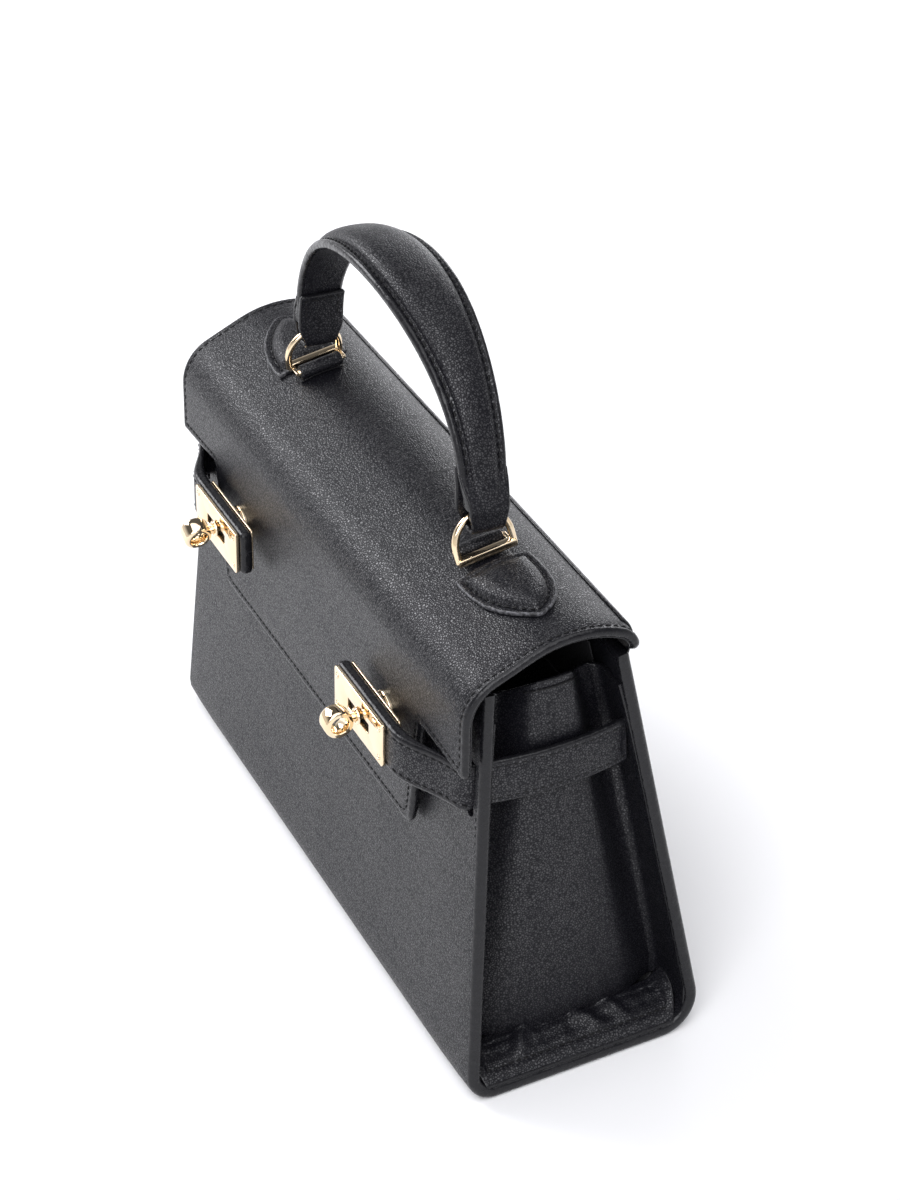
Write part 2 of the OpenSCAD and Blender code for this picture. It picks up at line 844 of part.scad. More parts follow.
// The handle's end: a loop round the ring's bow, and the folded-back tab on the inner side
module handle_loop(side) {
    corner_r = ring_wire_r + loop_gap;
    tab_i = arch_n * asin(tab_len / handle_rise) / 180;
    color(leather_col) leaned() on_side(side) translate([0, handle_y, 0]) along_y(handle_end_w) {
        difference() {
            union() {
                rounded_box(handle_half_span - loop_t, cavity_x + loop_t,
                    cavity_z0 - loop_t, loop_top - loop_t, corner_r + loop_t);
                translate([handle_half_span - loop_t, cavity_z1 - corner_r - loop_t])
                    square([cavity_x - handle_half_span + 2 * loop_t, corner_r + 2 * loop_t]);
            }
            rounded_box(handle_half_span, cavity_x, cavity_z0, cavity_z1, corner_r);
        }
        polygon([
            [handle_half_span - loop_t, cavity_z1],
            [handle_half_span - layer_gap, cavity_z1],
            for (share = [0, 0.5, 1]) arch_point(share * tab_i, -layer_gap),
            for (share = [1, 0.5, 0]) arch_point(share * tab_i, -loop_t)
        ]);
    }
}

module handle_loop_left() {
    handle_loop(-1);
}

module handle_loop_right() {
    handle_loop(1);
}

// Locks, each in the lock frame: a slab between two depths, and a round piece along its normal
module slab(y0, y1) {
    translate([0, y1, 0]) rotate([90, 0, 0]) linear_extrude(y1 - y0) children();
}

module stud(x, z, y0, y1, r) {
    translate([x, y0, z]) rotate([-90, 0, 0]) cylinder(h = y1 - y0, r = r);
}

module at_screws() {
    dx = plate_l / 2 - screw_inset;
    dz = plate_h / 2 - screw_inset;
    for (x = [lock_x - dx, lock_x + dx], z = [-dz, dz])
        translate([x, 0, z]) children();
}

module plate_outline() {
    rounded_box(lock_x - plate_l / 2, lock_x + plate_l / 2, -plate_h / 2, plate_h / 2,
        plate_corner_r);
}

module snap_disc(side) {
    color(gold_col) lock_frame(side) stud(lock_x, 0, -snap_t, 0, snap_r);
}

module snap_disc_left() {
    snap_disc(-1);
}

module snap_disc_right() {
    snap_disc(1);
}

module snap_magnet(side) {
    color(gold_col) lock_frame(side) stud(lock_x, 0, magnet_y, magnet_y + snap_t, snap_r);
}

module snap_magnet_left() {
    snap_magnet(-1);
}

module snap_magnet_right() {
    snap_magnet(1);
}

module back_plate(side) {
    color(gold_col) lock_frame(side) slab(tip_back_y, magnet_y) plate_outline();
}

module back_plate_left() {
    back_plate(-1);
}

module back_plate_right() {
    back_plate(1);
}

// A strap's turning end: a rounded root at the slot, a ramp, and a thick end under the plate
module strap_tip(side) {
    ramp_x = tip_outer_x + ramp_len;
    color(leather_col) lock_frame(side) difference() {
        translate([0, 0, -strap_w / 2]) linear_extrude(strap_w)
            polygon(concat(
                [
                    [tip_inner_x, tip_back_y],
                    [tip_outer_x, tip_back_y],
                    [ramp_x, pivot_y + strap_t / 2]
                ],
                arc_points([pivot_x, pivot_y], strap_t / 2, 90, -90),
                [
                    [ramp_x, pivot_y - strap_t / 2],
                    [tip_outer_x, tip_face_y],
                    [tip_inner_x, tip_face_y]
                ]
            ));
        stud(lock_x, 0, tip_face_y - cut, tip_face_y + pocket_depth, flange_r + flange_gap);
        at_screws() stud(0, 0, tip_face_y - cut, tip_face_y + tip_t / 2, screw_hole_r);
    }
}

module strap_tip_left() {
    strap_tip(-1);
}

module strap_tip_right() {
    strap_tip(1);
}

module lock_plate(side) {
    color(gold_col) lock_frame(side) difference() {
        slab(plate_face_y, tip_face_y) plate_outline();
        slab(plate_face_y - cut, cut)
            rounded_box(lock_x - keyhole_l / 2, lock_x + keyhole_l / 2,
                -keyhole_h / 2, keyhole_h / 2, keyhole_h / 2 - layer_gap);
        at_screws() stud(0, 0, plate_face_y - cut, cut, screw_hole_r);
    }
}

module lock_plate_left() {
    lock_plate(-1);
}

module lock_plate_right() {
    lock_plate(1);
}

module plate_screws(side) {
    color(gold_col) lock_frame(side) at_screws() {
        stud(0, 0, plate_face_y - screw_h, plate_face_y, screw_r);
        stud(0, 0, plate_face_y - screw_h, tip_face_y + tip_t / 2, screw_r / 2);
    }
}

module plate_screws_left() {
    plate_screws(-1);
}

module plate_screws_right() {
    plate_screws(1);
}

// A toggle: a short tube on a stem that turns in the plate's slot, held by a flange under it
module toggle(side, turn) {
    tube_y = plate_face_y - toggle_stand - toggle_r;
    flange_y = tip_face_y + flange_gap;
    color(gold_col) lock_frame(side) translate([lock_x, 0, 0]) rotate([0, turn, 0]) {
        difference() {
            union() {
                translate([0, tube_y, 0]) rotate([0, 90, 0])
                    cylinder(h = toggle_len, r = toggle_r, center = true);
                stud(0, 0, tube_y + toggle_hole_r, flange_y + flange_t, stem_r);
            }
            translate([0, tube_y, 0]) rotate([0, 90, 0])
                cylinder(h = cut, r = toggle_hole_r, center = true);
        }
        stud(0, 0, flange_y, flange_y + flange_t, flange_r);
    }
}

module toggle_left() {
    toggle(-1, -toggle_turn);
}

module toggle_right() {
    toggle(1, 0);
}

front_panel();
back_panel();
base_panel();
front_board();
back_board();
base_board();
front_lining();
back_lining();
base_lining();
slip_pocket();
gusset_left();
gusset_right();
gusset_lining_left();
gusset_lining_right();
side_strap_left();
side_strap_right();
flap_leather();
flap_lining();
ring_patch_left();
ring_patch_right();
ring_roll_left();
ring_roll_right();
snap_disc_left();
snap_disc_right();
handle_cover();
handle_core();
handle_strap();
handle_loop_left();
handle_loop_right();
ring_left();
ring_right();
strap_tip_left();
strap_tip_right();
back_plate_left();
back_plate_right();
lock_plate_left();
lock_plate_right();
plate_screws_left();
plate_screws_right();
snap_magnet_left();
snap_magnet_right();
toggle_left();
toggle_right();
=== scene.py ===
"""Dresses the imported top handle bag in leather, thread, cloth and metal, in a plain studio."""

import math
from bisect import bisect_right

import bmesh
import bpy
from mathutils import Matrix, Vector, noise


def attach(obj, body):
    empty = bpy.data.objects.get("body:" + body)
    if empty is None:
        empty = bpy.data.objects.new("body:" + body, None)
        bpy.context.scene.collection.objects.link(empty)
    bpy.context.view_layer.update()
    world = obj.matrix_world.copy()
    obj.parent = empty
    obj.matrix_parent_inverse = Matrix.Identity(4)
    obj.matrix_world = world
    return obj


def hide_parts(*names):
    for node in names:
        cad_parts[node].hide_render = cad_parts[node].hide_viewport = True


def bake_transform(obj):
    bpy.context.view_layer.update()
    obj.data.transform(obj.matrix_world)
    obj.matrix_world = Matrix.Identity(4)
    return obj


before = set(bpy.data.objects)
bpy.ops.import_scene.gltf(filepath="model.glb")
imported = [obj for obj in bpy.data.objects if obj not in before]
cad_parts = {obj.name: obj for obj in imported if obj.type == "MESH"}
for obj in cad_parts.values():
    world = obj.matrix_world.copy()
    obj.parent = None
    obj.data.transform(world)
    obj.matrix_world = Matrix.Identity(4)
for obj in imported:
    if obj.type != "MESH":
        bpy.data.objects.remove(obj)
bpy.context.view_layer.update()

# The studio: smooth pale paper under and behind the bag, a wide soft lamp overhead and two at the
# sides. The camera stands high at the bag's right end and looks down over the flap.
camera_place = (0.8175, -0.3315, 0.7104)
camera_right = (0.42004, 0.90623, -0.04802)
camera_up = (-0.49511, 0.27319, 0.82477)
camera_back = (0.76055, -0.32267, 0.56344)
camera_lens = 92.74
paper_colour = (0.88, 0.88, 0.88, 1)
light_colour = (0.965, 0.967, 1.0)
horizon_light, zenith_light = 0.9, 0.12
horizon_z, zenith_z = 0.12, 0.5


def add_object(name, data):
    thing = bpy.data.objects.new(name, data)
    bpy.context.scene.collection.objects.link(thing)
    return thing


def new_finish(name, colour, roughness, metallic=0.0):
    finish = bpy.data.materials.new(name)
    finish.use_nodes = True
    shader = finish.node_tree.nodes["Principled BSDF"]
    shader.inputs["Base Color"].default_value = colour
    shader.inputs["Roughness"].default_value = roughness
    shader.inputs["Metallic"].default_value = metallic
    return finish


def add_lamp(name, place, aim, size, watts):
    lamp = bpy.data.lights.new(name, "AREA")
    lamp.shape = "RECTANGLE"
    lamp.size, lamp.size_y = size
    lamp.energy = watts
    lamp.color = light_colour
    holder = add_object(name, lamp)
    holder.location = place
    holder.rotation_euler = (Vector(aim) - Vector(place)).to_track_quat("-Z", "Y").to_euler()


camera = add_object("camera", bpy.data.cameras.new("camera"))
camera.data.lens = camera_lens
camera.data.sensor_width = 36
camera.data.clip_start = 0.05
camera.matrix_world = Matrix([
    (*axis, at) for axis, at in zip(zip(camera_right, camera_up, camera_back), camera_place)
] + [(0, 0, 0, 1)])
bpy.context.scene.camera = camera

world = bpy.data.worlds.new("studio")
world.use_nodes = True
sky_tree = world.node_tree
sky_up = sky_tree.nodes.new("ShaderNodeSeparateXYZ")
sky_fall = sky_tree.nodes.new("ShaderNodeMapRange")
sky_tree.links.new(sky_tree.nodes.new("ShaderNodeTexCoord").outputs["Generated"],
                   sky_up.inputs[0])
sky_tree.links.new(sky_up.outputs["Z"], sky_fall.inputs["Value"])
for label, number in (("From Min", horizon_z), ("From Max", zenith_z),
                      ("To Min", horizon_light), ("To Max", zenith_light)):
    sky_fall.inputs[label].default_value = number
sky_tree.links.new(sky_fall.outputs["Result"], sky_tree.nodes["Background"].inputs["Strength"])
sky_tree.nodes["Background"].inputs["Color"].default_value = (*light_colour, 1)
bpy.context.scene.world = world

bpy.context.scene.view_settings.view_transform = "Standard"

add_lamp("overhead_lamp", (0.6, 0.0, 3.0), (0.2, 0.1, 0), (3.6, 3.6), 80)
add_lamp("fill_lamp", (2.2, -1.5, 2.3), (0.1, 0, 0), (2.6, 2.6), 84)
add_lamp("shoulder_lamp", (-1.25, -0.68, 1.04), (0, 0, 0.15), (0.85, 0.85), 20)
add_lamp("rear_lamp", (-1.6, 1.3, 0.5), (0, 0, 0.16), (0.7, 0.9), 8)

sweep_mesh = bmesh.new()
bmesh.ops.create_grid(sweep_mesh, x_segments=2, y_segments=2, size=4)
sweep_data = bpy.data.meshes.new("paper_sweep")
sweep_mesh.to_mesh(sweep_data)
sweep_mesh.free()
paper_sweep = add_object("paper_sweep", sweep_data)
sweep_data.materials.append(new_finish("pale_paper", paper_colour, 0.8))

# The body's front, base and back: black pebbled leather over board, folded round under the bag,
# with its cut sides painted and a row of stitches along them. The front has two strap slots.
MM = 0.001
body_w, body_d, panel_h, top_w, panel_lean = 260, 85, 152, 234, 7.1
front_fold_r, back_fold_r = 9, 14
shell_t = 4.4
front_c = Vector((-body_d / 2 + front_fold_r, front_fold_r))
back_c = Vector((body_d / 2 - back_fold_r, back_fold_r))
stitch_inset = 3.0
hinge_cover = 10
leather_black = (0.006, 0.006, 0.0085, 1)
paint_grey = (0.012, 0.012, 0.013, 1)
thread_black = (0.012, 0.012, 0.013, 1)
both_sides = (-1, "left"), (1, "right")


def toward(degrees):
    return Vector((math.cos(math.radians(degrees)), math.sin(math.radians(degrees))))


def turn_by(degrees, axis="X"):
    return Matrix.Rotation(math.radians(degrees), 4, axis)


def bow(centre, radius, start, end, step=4):
    """Marks along an arc: each a point and its outward direction."""
    count = max(2, round(abs(end - start) / step))
    turns = [start + (end - start) * k / count for k in range(count + 1)]
    return [(Vector(centre) + radius * toward(a), toward(a)) for a in turns]


class Course:
    """A line drawn through marks, read by the distance along it."""

    def __init__(self, marks):
        self.marks = [(Vector(p), Vector(n)) for p, n in marks]
        self.far = [0.0]
        for (p, _), (q, _) in zip(self.marks, self.marks[1:]):
            self.far.append(self.far[-1] + (q - p).length)
        self.length = self.far[-1]

    def at(self, s):
        s = min(max(s, 0), self.length)
        k = min(max(bisect_right(self.far, s), 1), len(self.far) - 1)
        span = self.far[k] - self.far[k - 1]
        share = (s - self.far[k - 1]) / span if span > 1e-9 else 0
        (p, n), (q, m) = self.marks[k - 1], self.marks[k]
        return p.lerp(q, share), n.lerp(m, share).normalized()


def smooth(share):
    """A share held between 0 and 1 and eased at both ends."""
    share = min(max(share, 0), 1)
    return share * share * (3 - 2 * share)


def half_w(z):
    return body_w / 2 - (body_w - top_w) / 2 / panel_h * z


def front_y(z, inset=0):
    foot = front_c + (front_fold_r - inset) * toward(180 - panel_lean)
    return foot.x + (z - foot.y) * math.tan(math.radians(panel_lean))


def back_y(z, inset=0):
    foot = back_c + (back_fold_r - inset) * toward(panel_lean)
    return foot.x - (z - foot.y) * math.tan(math.radians(panel_lean))


def steps(low, high, pitch):
    count = max(1, round((high - low) / pitch))
    return [low + (high - low) * k / count for k in range(1, count)]


def verts_in(made):
    return [part for part in made if isinstance(part, bmesh.types.BMVert)]


def edges_in(made):
    return [part for part in made if isinstance(part, bmesh.types.BMEdge)]


def ease_edges(bm, edges, by, segments=3):
    return bmesh.ops.bevel(bm, geom=edges, offset=by, offset_type="OFFSET", segments=segments,
                           profile=0.5, affect="EDGES", material=-1)


def thicken(bm, thick):
    """Gives flat faces a thickness below them, and returns the rims of both sides."""
    made = bmesh.ops.extrude_face_region(bm, geom=bm.faces[:])["geom"]
    bmesh.ops.translate(bm, vec=(0, 0, -thick), verts=verts_in(made))
    bmesh.ops.recalc_face_normals(bm, faces=bm.faces[:])
    return [e for e in bm.edges if len(e.link_faces) == 2
            and (abs(e.link_faces[0].normal.z) > 0.9) != (abs(e.link_faces[1].normal.z) > 0.9)]


def cut_leather(outline, thick, round_by, columns, rows, is_butt=None, groove_at=stitch_inset):
    """A flat cut piece, its outer face at 0 and its inner at -thick, with rounded painted rims.
    A butt is an edge that meets the next piece, so it is neither rounded nor sewn."""
    bm = bmesh.new()
    bm.faces.new([bm.verts.new((u, v, 0)) for u, v in outline])
    rims = [e for e in thicken(bm, thick)
            if not (is_butt and all(is_butt(v.co.x, v.co.y) for v in e.verts))]
    ease_edges(bm, rims, round_by, 4)
    for face in bm.faces:
        face.material_index = 0 if abs(face.normal.z) > 0.99 else 1
    sewn = [(Vector(a), Vector(b)) for a, b in zip(outline, outline[1:] + outline[:1])
            if not (is_butt and is_butt(*a) and is_butt(*b))]
    cuts = [((u, 0), (1, 0)) for u in columns] + [((0, v), (0, 1)) for v in rows]
    for a, b in sewn:
        if groove_at and (b - a).length > 12:
            across = Vector((-(b - a).y, (b - a).x)).normalized()
            cuts += [(a + across * far * side, across)
                     for far in (groove_at - 0.9, groove_at, groove_at + 0.9) for side in (-1, 1)]
    for at, along in cuts:
        bmesh.ops.bisect_plane(bm, geom=bm.verts[:] + bm.edges[:] + bm.faces[:], dist=1e-4,
                               plane_co=(*at, 0), plane_no=(*along, 0))
    return bm, sewn


def edge_distance(u, v, sewn):
    here = Vector((u, v))
    best = 1e9
    for a, b in sewn:
        run = b - a
        share = min(max((here - a).dot(run) / run.length_squared, 0), 1)
        best = min(best, (here - a - run * share).length)
    return best


def lay_leather(bm, place, sewn, groove_at=stitch_inset, groove=0.3, puff=0.0, reach=30.0,
                start=0.0):
    """Bends a flat piece into place, sinks its stitch groove and swells its middle."""
    for vert in bm.verts:
        u, v, w = vert.co
        far = edge_distance(u, v, sewn)
        if w > -0.7:
            w -= groove * math.exp(-((far - groove_at) / 0.75) ** 2)
        share = min(max(far - start, 0) / reach, 1)
        vert.co = place(u, v, w + puff * share * (2 - share))


def make_piece(name, bm, body, finishes, sharp=42, matrix=None):
    """Turns a mesh in millimetres into a finished piece that rides on a body."""
    if matrix:
        bmesh.ops.transform(bm, matrix=matrix, verts=bm.verts[:])
    bmesh.ops.scale(bm, vec=(MM, MM, MM), verts=bm.verts[:])
    bmesh.ops.recalc_face_normals(bm, faces=bm.faces[:])
    mesh = bpy.data.meshes.new(name)
    bm.to_mesh(mesh)
    bm.free()
    mesh.shade_smooth()
    mesh.set_sharp_from_angle(angle=math.radians(sharp))
    for finish in finishes:
        mesh.materials.append(finish)
    piece = add_object(name, mesh)
    if body:
        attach(piece, body)
    return piece


def lay_piece(name, cut, place, body, slot="leather", finishes=None, matrix=None, **laid):
    """Lays a cut piece in place and fixes it to its body; it is painted leather by default."""
    lay_leather(cut[0], place, cut[1], **laid)
    return make_piece(name, cut[0], body, finishes or [leather, edge_paint],
                      matrix=matrix)


def pour_into(bm, extra):
    """Adds a second mesh to a mesh and frees it."""
    data = bpy.data.meshes.new("extra")
    extra.to_mesh(data)
    extra.free()
    bm.from_mesh(data)


def sew(bm, route, place, pitch=2.9, length=2.05, sunk=0.2):
    """Lays a row of stitches along a flat route."""
    course = Course([(p, (0, 1)) for p in route])
    count = max(1, int(course.length / pitch))
    for k in range(count):
        s = (k + 0.5) * course.length / count
        here, _ = course.at(s)
        ahead, _ = course.at(min(s + 0.3, course.length))
        behind, _ = course.at(max(s - 0.3, 0))
        base = place(here.x, here.y, -sunk)
        run = (place(ahead.x, ahead.y, -sunk) - place(behind.x, behind.y, -sunk)).normalized()
        out = (place(here.x, here.y, 1) - place(here.x, here.y, 0)).normalized()
        across = run.cross(out).normalized()
        run = (run + across * 0.12).normalized()
        turn = Matrix((across, out, run)).transposed().to_4x4()
        bmesh.ops.create_uvsphere(
            bm, u_segments=6, v_segments=4, radius=1,
            matrix=Matrix.Translation(base) @ turn
            @ Matrix.Diagonal((0.42, 0.36, length / 2, 1)))


def punch(piece, cutter_mesh):
    """Cuts a hole through a piece with another closed mesh, both in metres."""
    data = bpy.data.meshes.new("cutter")
    cutter_mesh.to_mesh(data)
    cutter_mesh.free()
    cutter = add_object("cutter", data)
    tool = piece.modifiers.new("punch", "BOOLEAN")
    tool.object = cutter
    tool.operation = "DIFFERENCE"
    tool.solver = "EXACT"
    graph = bpy.context.evaluated_depsgraph_get()
    result = bpy.data.meshes.new_from_object(piece.evaluated_get(graph))
    piece.modifiers.clear()
    piece.data = result
    bpy.data.objects.remove(cutter)


def new_group(name, inputs, outputs):
    """A shader node group with named numbers in and out."""
    group = bpy.data.node_groups.new(name, "ShaderNodeTree")
    for label, value in inputs:
        socket = group.interface.new_socket(
            name=label, in_out="INPUT", socket_type="NodeSocketFloat")
        socket.default_value = value
    for label in outputs:
        group.interface.new_socket(name=label, in_out="OUTPUT", socket_type="NodeSocketFloat")
    return group, group.nodes.new("NodeGroupInput"), group.nodes.new("NodeGroupOutput")


def maths(tree, kind, a, b, c=None):
    """A Math node fed by sockets or plain numbers; returns what it puts out."""
    node = tree.nodes.new("ShaderNodeMath")
    node.operation = kind
    for socket, value in zip(node.inputs, (a, b, c)):
        if isinstance(value, bpy.types.NodeSocket):
            tree.links.new(value, socket)
        elif value is not None:
            socket.default_value = value
    return node.outputs[0]


def remap(tree, value, low, high, to_low, to_high, smooth=False):
    node = tree.nodes.new("ShaderNodeMapRange")
    node.interpolation_type = "SMOOTHSTEP" if smooth else "LINEAR"
    tree.links.new(value, node.inputs["Value"])
    for label, number in (("From Min", low), ("From Max", high),
                          ("To Min", to_low), ("To Max", to_high)):
        node.inputs[label].default_value = number
    return node.outputs["Result"]


def noise_value(tree, where, scale, detail=3, label="Fac"):
    node = tree.nodes.new("ShaderNodeTexNoise")
    node.inputs["Scale"].default_value = scale
    node.inputs["Detail"].default_value = detail
    tree.links.new(where, node.inputs["Vector"])
    return node.outputs[label]


def build_grain():
    """Pebbled grain: rounded cells with creases between them, drifting in size over the hide."""
    group, entry, leave = new_group(
        "pebbled_grain", [("Pebbles per metre", 900)], ["Height", "Crease", "Cloudiness"])
    where = group.nodes.new("ShaderNodeTexCoord").outputs["Object"]
    drift = group.nodes.new("ShaderNodeVectorMath")
    drift.operation = "MULTIPLY_ADD"
    group.links.new(noise_value(group, where, 420, 2, "Color"), drift.inputs[0])
    drift.inputs[1].default_value = (0.0012, 0.0012, 0.0012)
    group.links.new(where, drift.inputs[2])
    cells = []
    for kind, size in (("F1", 1.0), ("DISTANCE_TO_EDGE", 1.0), ("DISTANCE_TO_EDGE", 0.43)):
        cell = group.nodes.new("ShaderNodeTexVoronoi")
        cell.feature = kind
        group.links.new(drift.outputs[0], cell.inputs["Vector"])
        group.links.new(maths(group, "MULTIPLY", entry.outputs[0], size), cell.inputs["Scale"])
        cells.append(cell.outputs["Distance"])
    dome = maths(group, "SUBTRACT", 1, maths(group, "MULTIPLY", cells[0], cells[0]))
    crease = remap(group, cells[1], 0, 0.36, 0, 1, True)
    fold = remap(group, cells[2], 0, 0.16, 0, 1, True)
    fine = noise_value(group, where, 2600, 2)
    height = maths(group, "MULTIPLY_ADD", dome, 0.35, crease)
    height = maths(group, "MULTIPLY_ADD", fold, 0.3, height)
    height = maths(group, "MULTIPLY_ADD", fine, 0.05, height)
    group.links.new(height, leave.inputs["Height"])
    fold_share = maths(group, "MULTIPLY_ADD", fold, 0.35, 0.65)
    group.links.new(maths(group, "MULTIPLY", crease, fold_share), leave.inputs["Crease"])
    group.links.new(noise_value(group, where, 28, 3), leave.inputs["Cloudiness"])
    return group


def use_group(finish, group):
    node = finish.node_tree.nodes.new("ShaderNodeGroup")
    node.node_tree = group
    return node


def mix_colours(finish, share, dark, light):
    """Colours the surface between two tones by a share."""
    tree = finish.node_tree
    node = tree.nodes.new("ShaderNodeMix")
    node.data_type = "RGBA"
    node.inputs[6].default_value = dark
    node.inputs[7].default_value = light
    tree.links.new(share, node.inputs[0])
    tree.links.new(node.outputs[2], tree.nodes["Principled BSDF"].inputs["Base Color"])


def add_bump(finish, height, depth, strength=1.0):
    tree = finish.node_tree
    node = tree.nodes.new("ShaderNodeBump")
    node.inputs["Distance"].default_value = depth
    node.inputs["Strength"].default_value = strength
    tree.links.new(height, node.inputs["Height"])
    tree.links.new(node.outputs["Normal"], tree.nodes["Principled BSDF"].inputs["Normal"])


def speckled_finish(name, colour, roughness, scale, detail, dark, light, spread=(0, 1)):
    """A finish whose tone drifts with a fine noise; returns it and the noise."""
    finish = new_finish(name, colour, roughness)
    tree = finish.node_tree
    where = tree.nodes.new("ShaderNodeTexCoord").outputs["Object"]
    speckle = noise_value(tree, where, scale, detail)
    mix_colours(finish, remap(tree, speckle, *spread, 0, 1), dark, light)
    return finish, speckle


def new_leather(name, colour, pebbles, depth, rough_low, rough_high):
    finish = new_finish(name, colour, rough_low)
    tree = finish.node_tree
    grain = use_group(finish, pebbled_grain)
    grain.inputs["Pebbles per metre"].default_value = pebbles
    # Painted shade: the base colour is darker down in the grain's creases, and it also drifts at
    # random in cloudy patches.
    worn = remap(tree, grain.outputs["Cloudiness"], 0.3, 0.7, 0, 1)
    tone = maths(tree, "MULTIPLY", maths(tree, "MULTIPLY_ADD", worn, 0.3, 0.7),
                 maths(tree, "MULTIPLY_ADD", grain.outputs["Crease"], 0.45, 0.55))
    mix_colours(finish, tone, tuple(c * 0.35 for c in colour[:3]) + (1,),
                tuple(c * 1.25 for c in colour[:3]) + (1,))
    rough = maths(tree, "MULTIPLY_ADD", worn, 0.05,
                  remap(tree, grain.outputs["Crease"], 0, 1, rough_high, rough_low))
    shader = tree.nodes["Principled BSDF"]
    tree.links.new(rough, shader.inputs["Roughness"])
    tree.links.new(remap(tree, grain.outputs["Crease"], 0, 1, 0.13, 0.93),
                   shader.inputs["Specular IOR Level"])
    add_bump(finish, grain.outputs["Height"], depth)
    return finish


pebbled_grain = build_grain()
leather = new_leather("black_pebbled_leather", leather_black, 1150, 0.000062, 0.3, 0.42)

edge_paint, paint_lumps = speckled_finish(
    "edge_paint", paint_grey, 0.42, 420, 4, (0.004, 0.004, 0.005, 1), (0.009, 0.009, 0.011, 1))
paint_shader = edge_paint.node_tree.nodes["Principled BSDF"]
edge_paint.node_tree.links.new(remap(edge_paint.node_tree, paint_lumps, 0.3, 0.7, 0.2, 0.32),
                               paint_shader.inputs["Roughness"])
paint_shader.inputs["Specular IOR Level"].default_value = 0.32
add_bump(edge_paint, paint_lumps, 0.0003)

thread, thread_ply = speckled_finish(
    "black_thread", thread_black, 0.5, 3200, 2, (0.002, 0.002, 0.002, 1),
    (0.008, 0.008, 0.009, 1))
thread.node_tree.nodes["Principled BSDF"].inputs["Specular IOR Level"].default_value = 0.2
add_bump(thread, thread_ply, 0.0002)

front_course = Course([((front_y(panel_h), panel_h), toward(180 - panel_lean))]
                      + bow(front_c, front_fold_r, 180 - panel_lean, 270))
base_course = Course([((front_c.x, 0), (0, -1)), ((back_c.x, 0), (0, -1))])
back_course = Course(bow(back_c, back_fold_r, -90, panel_lean)
                     + [((back_y(panel_h), panel_h), toward(panel_lean))])


def panel_place(course):
    def place(u, v, w):
        p, n = course.at(v)
        return Vector((u, p.x + n.x * w, p.y + n.y * w))
    return place


def panel_outline(course, samples):
    sides = [(half_w(course.at(s)[0].y), s) for s in samples]
    return [(-u, s) for u, s in sides] + [(u, s) for u, s in reversed(sides)]


body_stitches = bmesh.new()
for part, course, butts, puff in (
        ("front", front_course, [front_course.length], 0.7),
        ("base", base_course, [0, base_course.length], 0.0),
        ("back", back_course, [0], 0.7)):
    samples = [0] + steps(0, course.length, 6) + [course.length]
    outline = panel_outline(course, samples)
    rows = [s for s in steps(0, course.length, 12 if part == "base" else 1.5)
            if part == "base" or 8 > course.at(s)[0].y or round(s / 1.5) % 5 == 0
            or (part == "back" and course.at(s)[0].y < 17)]
    panel = lay_piece(part + "_leather", cut_leather(
        outline, shell_t, 1.7, steps(-body_w / 2, body_w / 2, 12), rows,
        lambda u, s, butts=butts: any(abs(s - b) < 1e-3 for b in butts)),
        panel_place(course), "bag", puff=puff)
    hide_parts(part + "_panel")
    for side in (-1, 1):
        route = [(side * (half_w(course.at(s)[0].y) - stitch_inset), s) for s in samples
                 if part != "back" or s < course.length - hinge_cover]
        sew(body_stitches, route, panel_place(course))
    if part == "front":
        strap_w, strap_t, strap_z, slot_inset = 16.6, 2.6, 117.2, 6
        pivot_x = half_w(strap_z) - slot_inset
        slot_w, slot_h, slot_foot = 3.4, 17.8, strap_z - strap_w / 2 - 0.6
        punch_r, punch_y, punch_l = 2.2, -30, 30
        for side in (-1, 1):
            slot = bmesh.new()
            bmesh.ops.create_cube(slot, size=1, matrix=Matrix.Translation(
                (side * pivot_x, punch_y, strap_z)) @ Matrix.Diagonal((slot_w, punch_l, slot_h, 1)))
            hole = bmesh.new()
            bmesh.ops.create_cone(
                hole, cap_ends=True, segments=24, radius1=punch_r, radius2=punch_r,
                depth=punch_l,
                matrix=Matrix.Translation((side * pivot_x, punch_y, slot_foot)) @ turn_by(90))
            for tool_mesh in (slot, hole):
                bmesh.ops.scale(tool_mesh, vec=(MM, MM, MM), verts=tool_mesh.verts[:])
                punch(panel, tool_mesh)
make_piece("body_stitches", body_stitches, "bag", [thread])

# The stiffening boards: grey pressed card, glued in between each panel's leather and its
# facing, so they stay hidden. Their solids are shown as they are.
board_finish, _ = speckled_finish("grey_card", (0.32, 0.3, 0.27, 1), 0.9, 900, 4,
                                  (0.26, 0.24, 0.21, 1), (0.4, 0.38, 0.34, 1))
for name in ("front_board", "back_board", "base_board"):
    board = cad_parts[name]
    board.data.materials.clear()
    board.data.materials.append(board_finish)

# The gussets: soft leather sides that bulge outwards between the panels, turn out along the
# panels' inner faces to the painted edges, and end over a puckered ledge at the foot.
gusset_low_x, gusset_tilt = 114.5, 2.17
gusset_bulge_r = 120
gusset_t = 1.4
gusset_top, gusset_foot = 147, 9.6
crease_r = 3.2
flange_gap = shell_t + 0.1
ledge_half, ledge_run, ledge_stitch = 40, 17, 4.2


def room_front(z, inset=flange_gap):
    foot = front_c + (front_fold_r - inset) * toward(180 - panel_lean)
    if z > foot.y:
        return front_y(z, inset)
    return front_c.x - math.sqrt((front_fold_r - inset) ** 2 - min(front_c.y - z, 4.4) ** 2)


def room_back(z, inset=flange_gap):
    foot = back_c + (back_fold_r - inset) * toward(panel_lean)
    if z > foot.y:
        return back_y(z, inset)
    return back_c.x + math.sqrt((back_fold_r - inset) ** 2 - min(back_c.y - z, 9.4) ** 2)


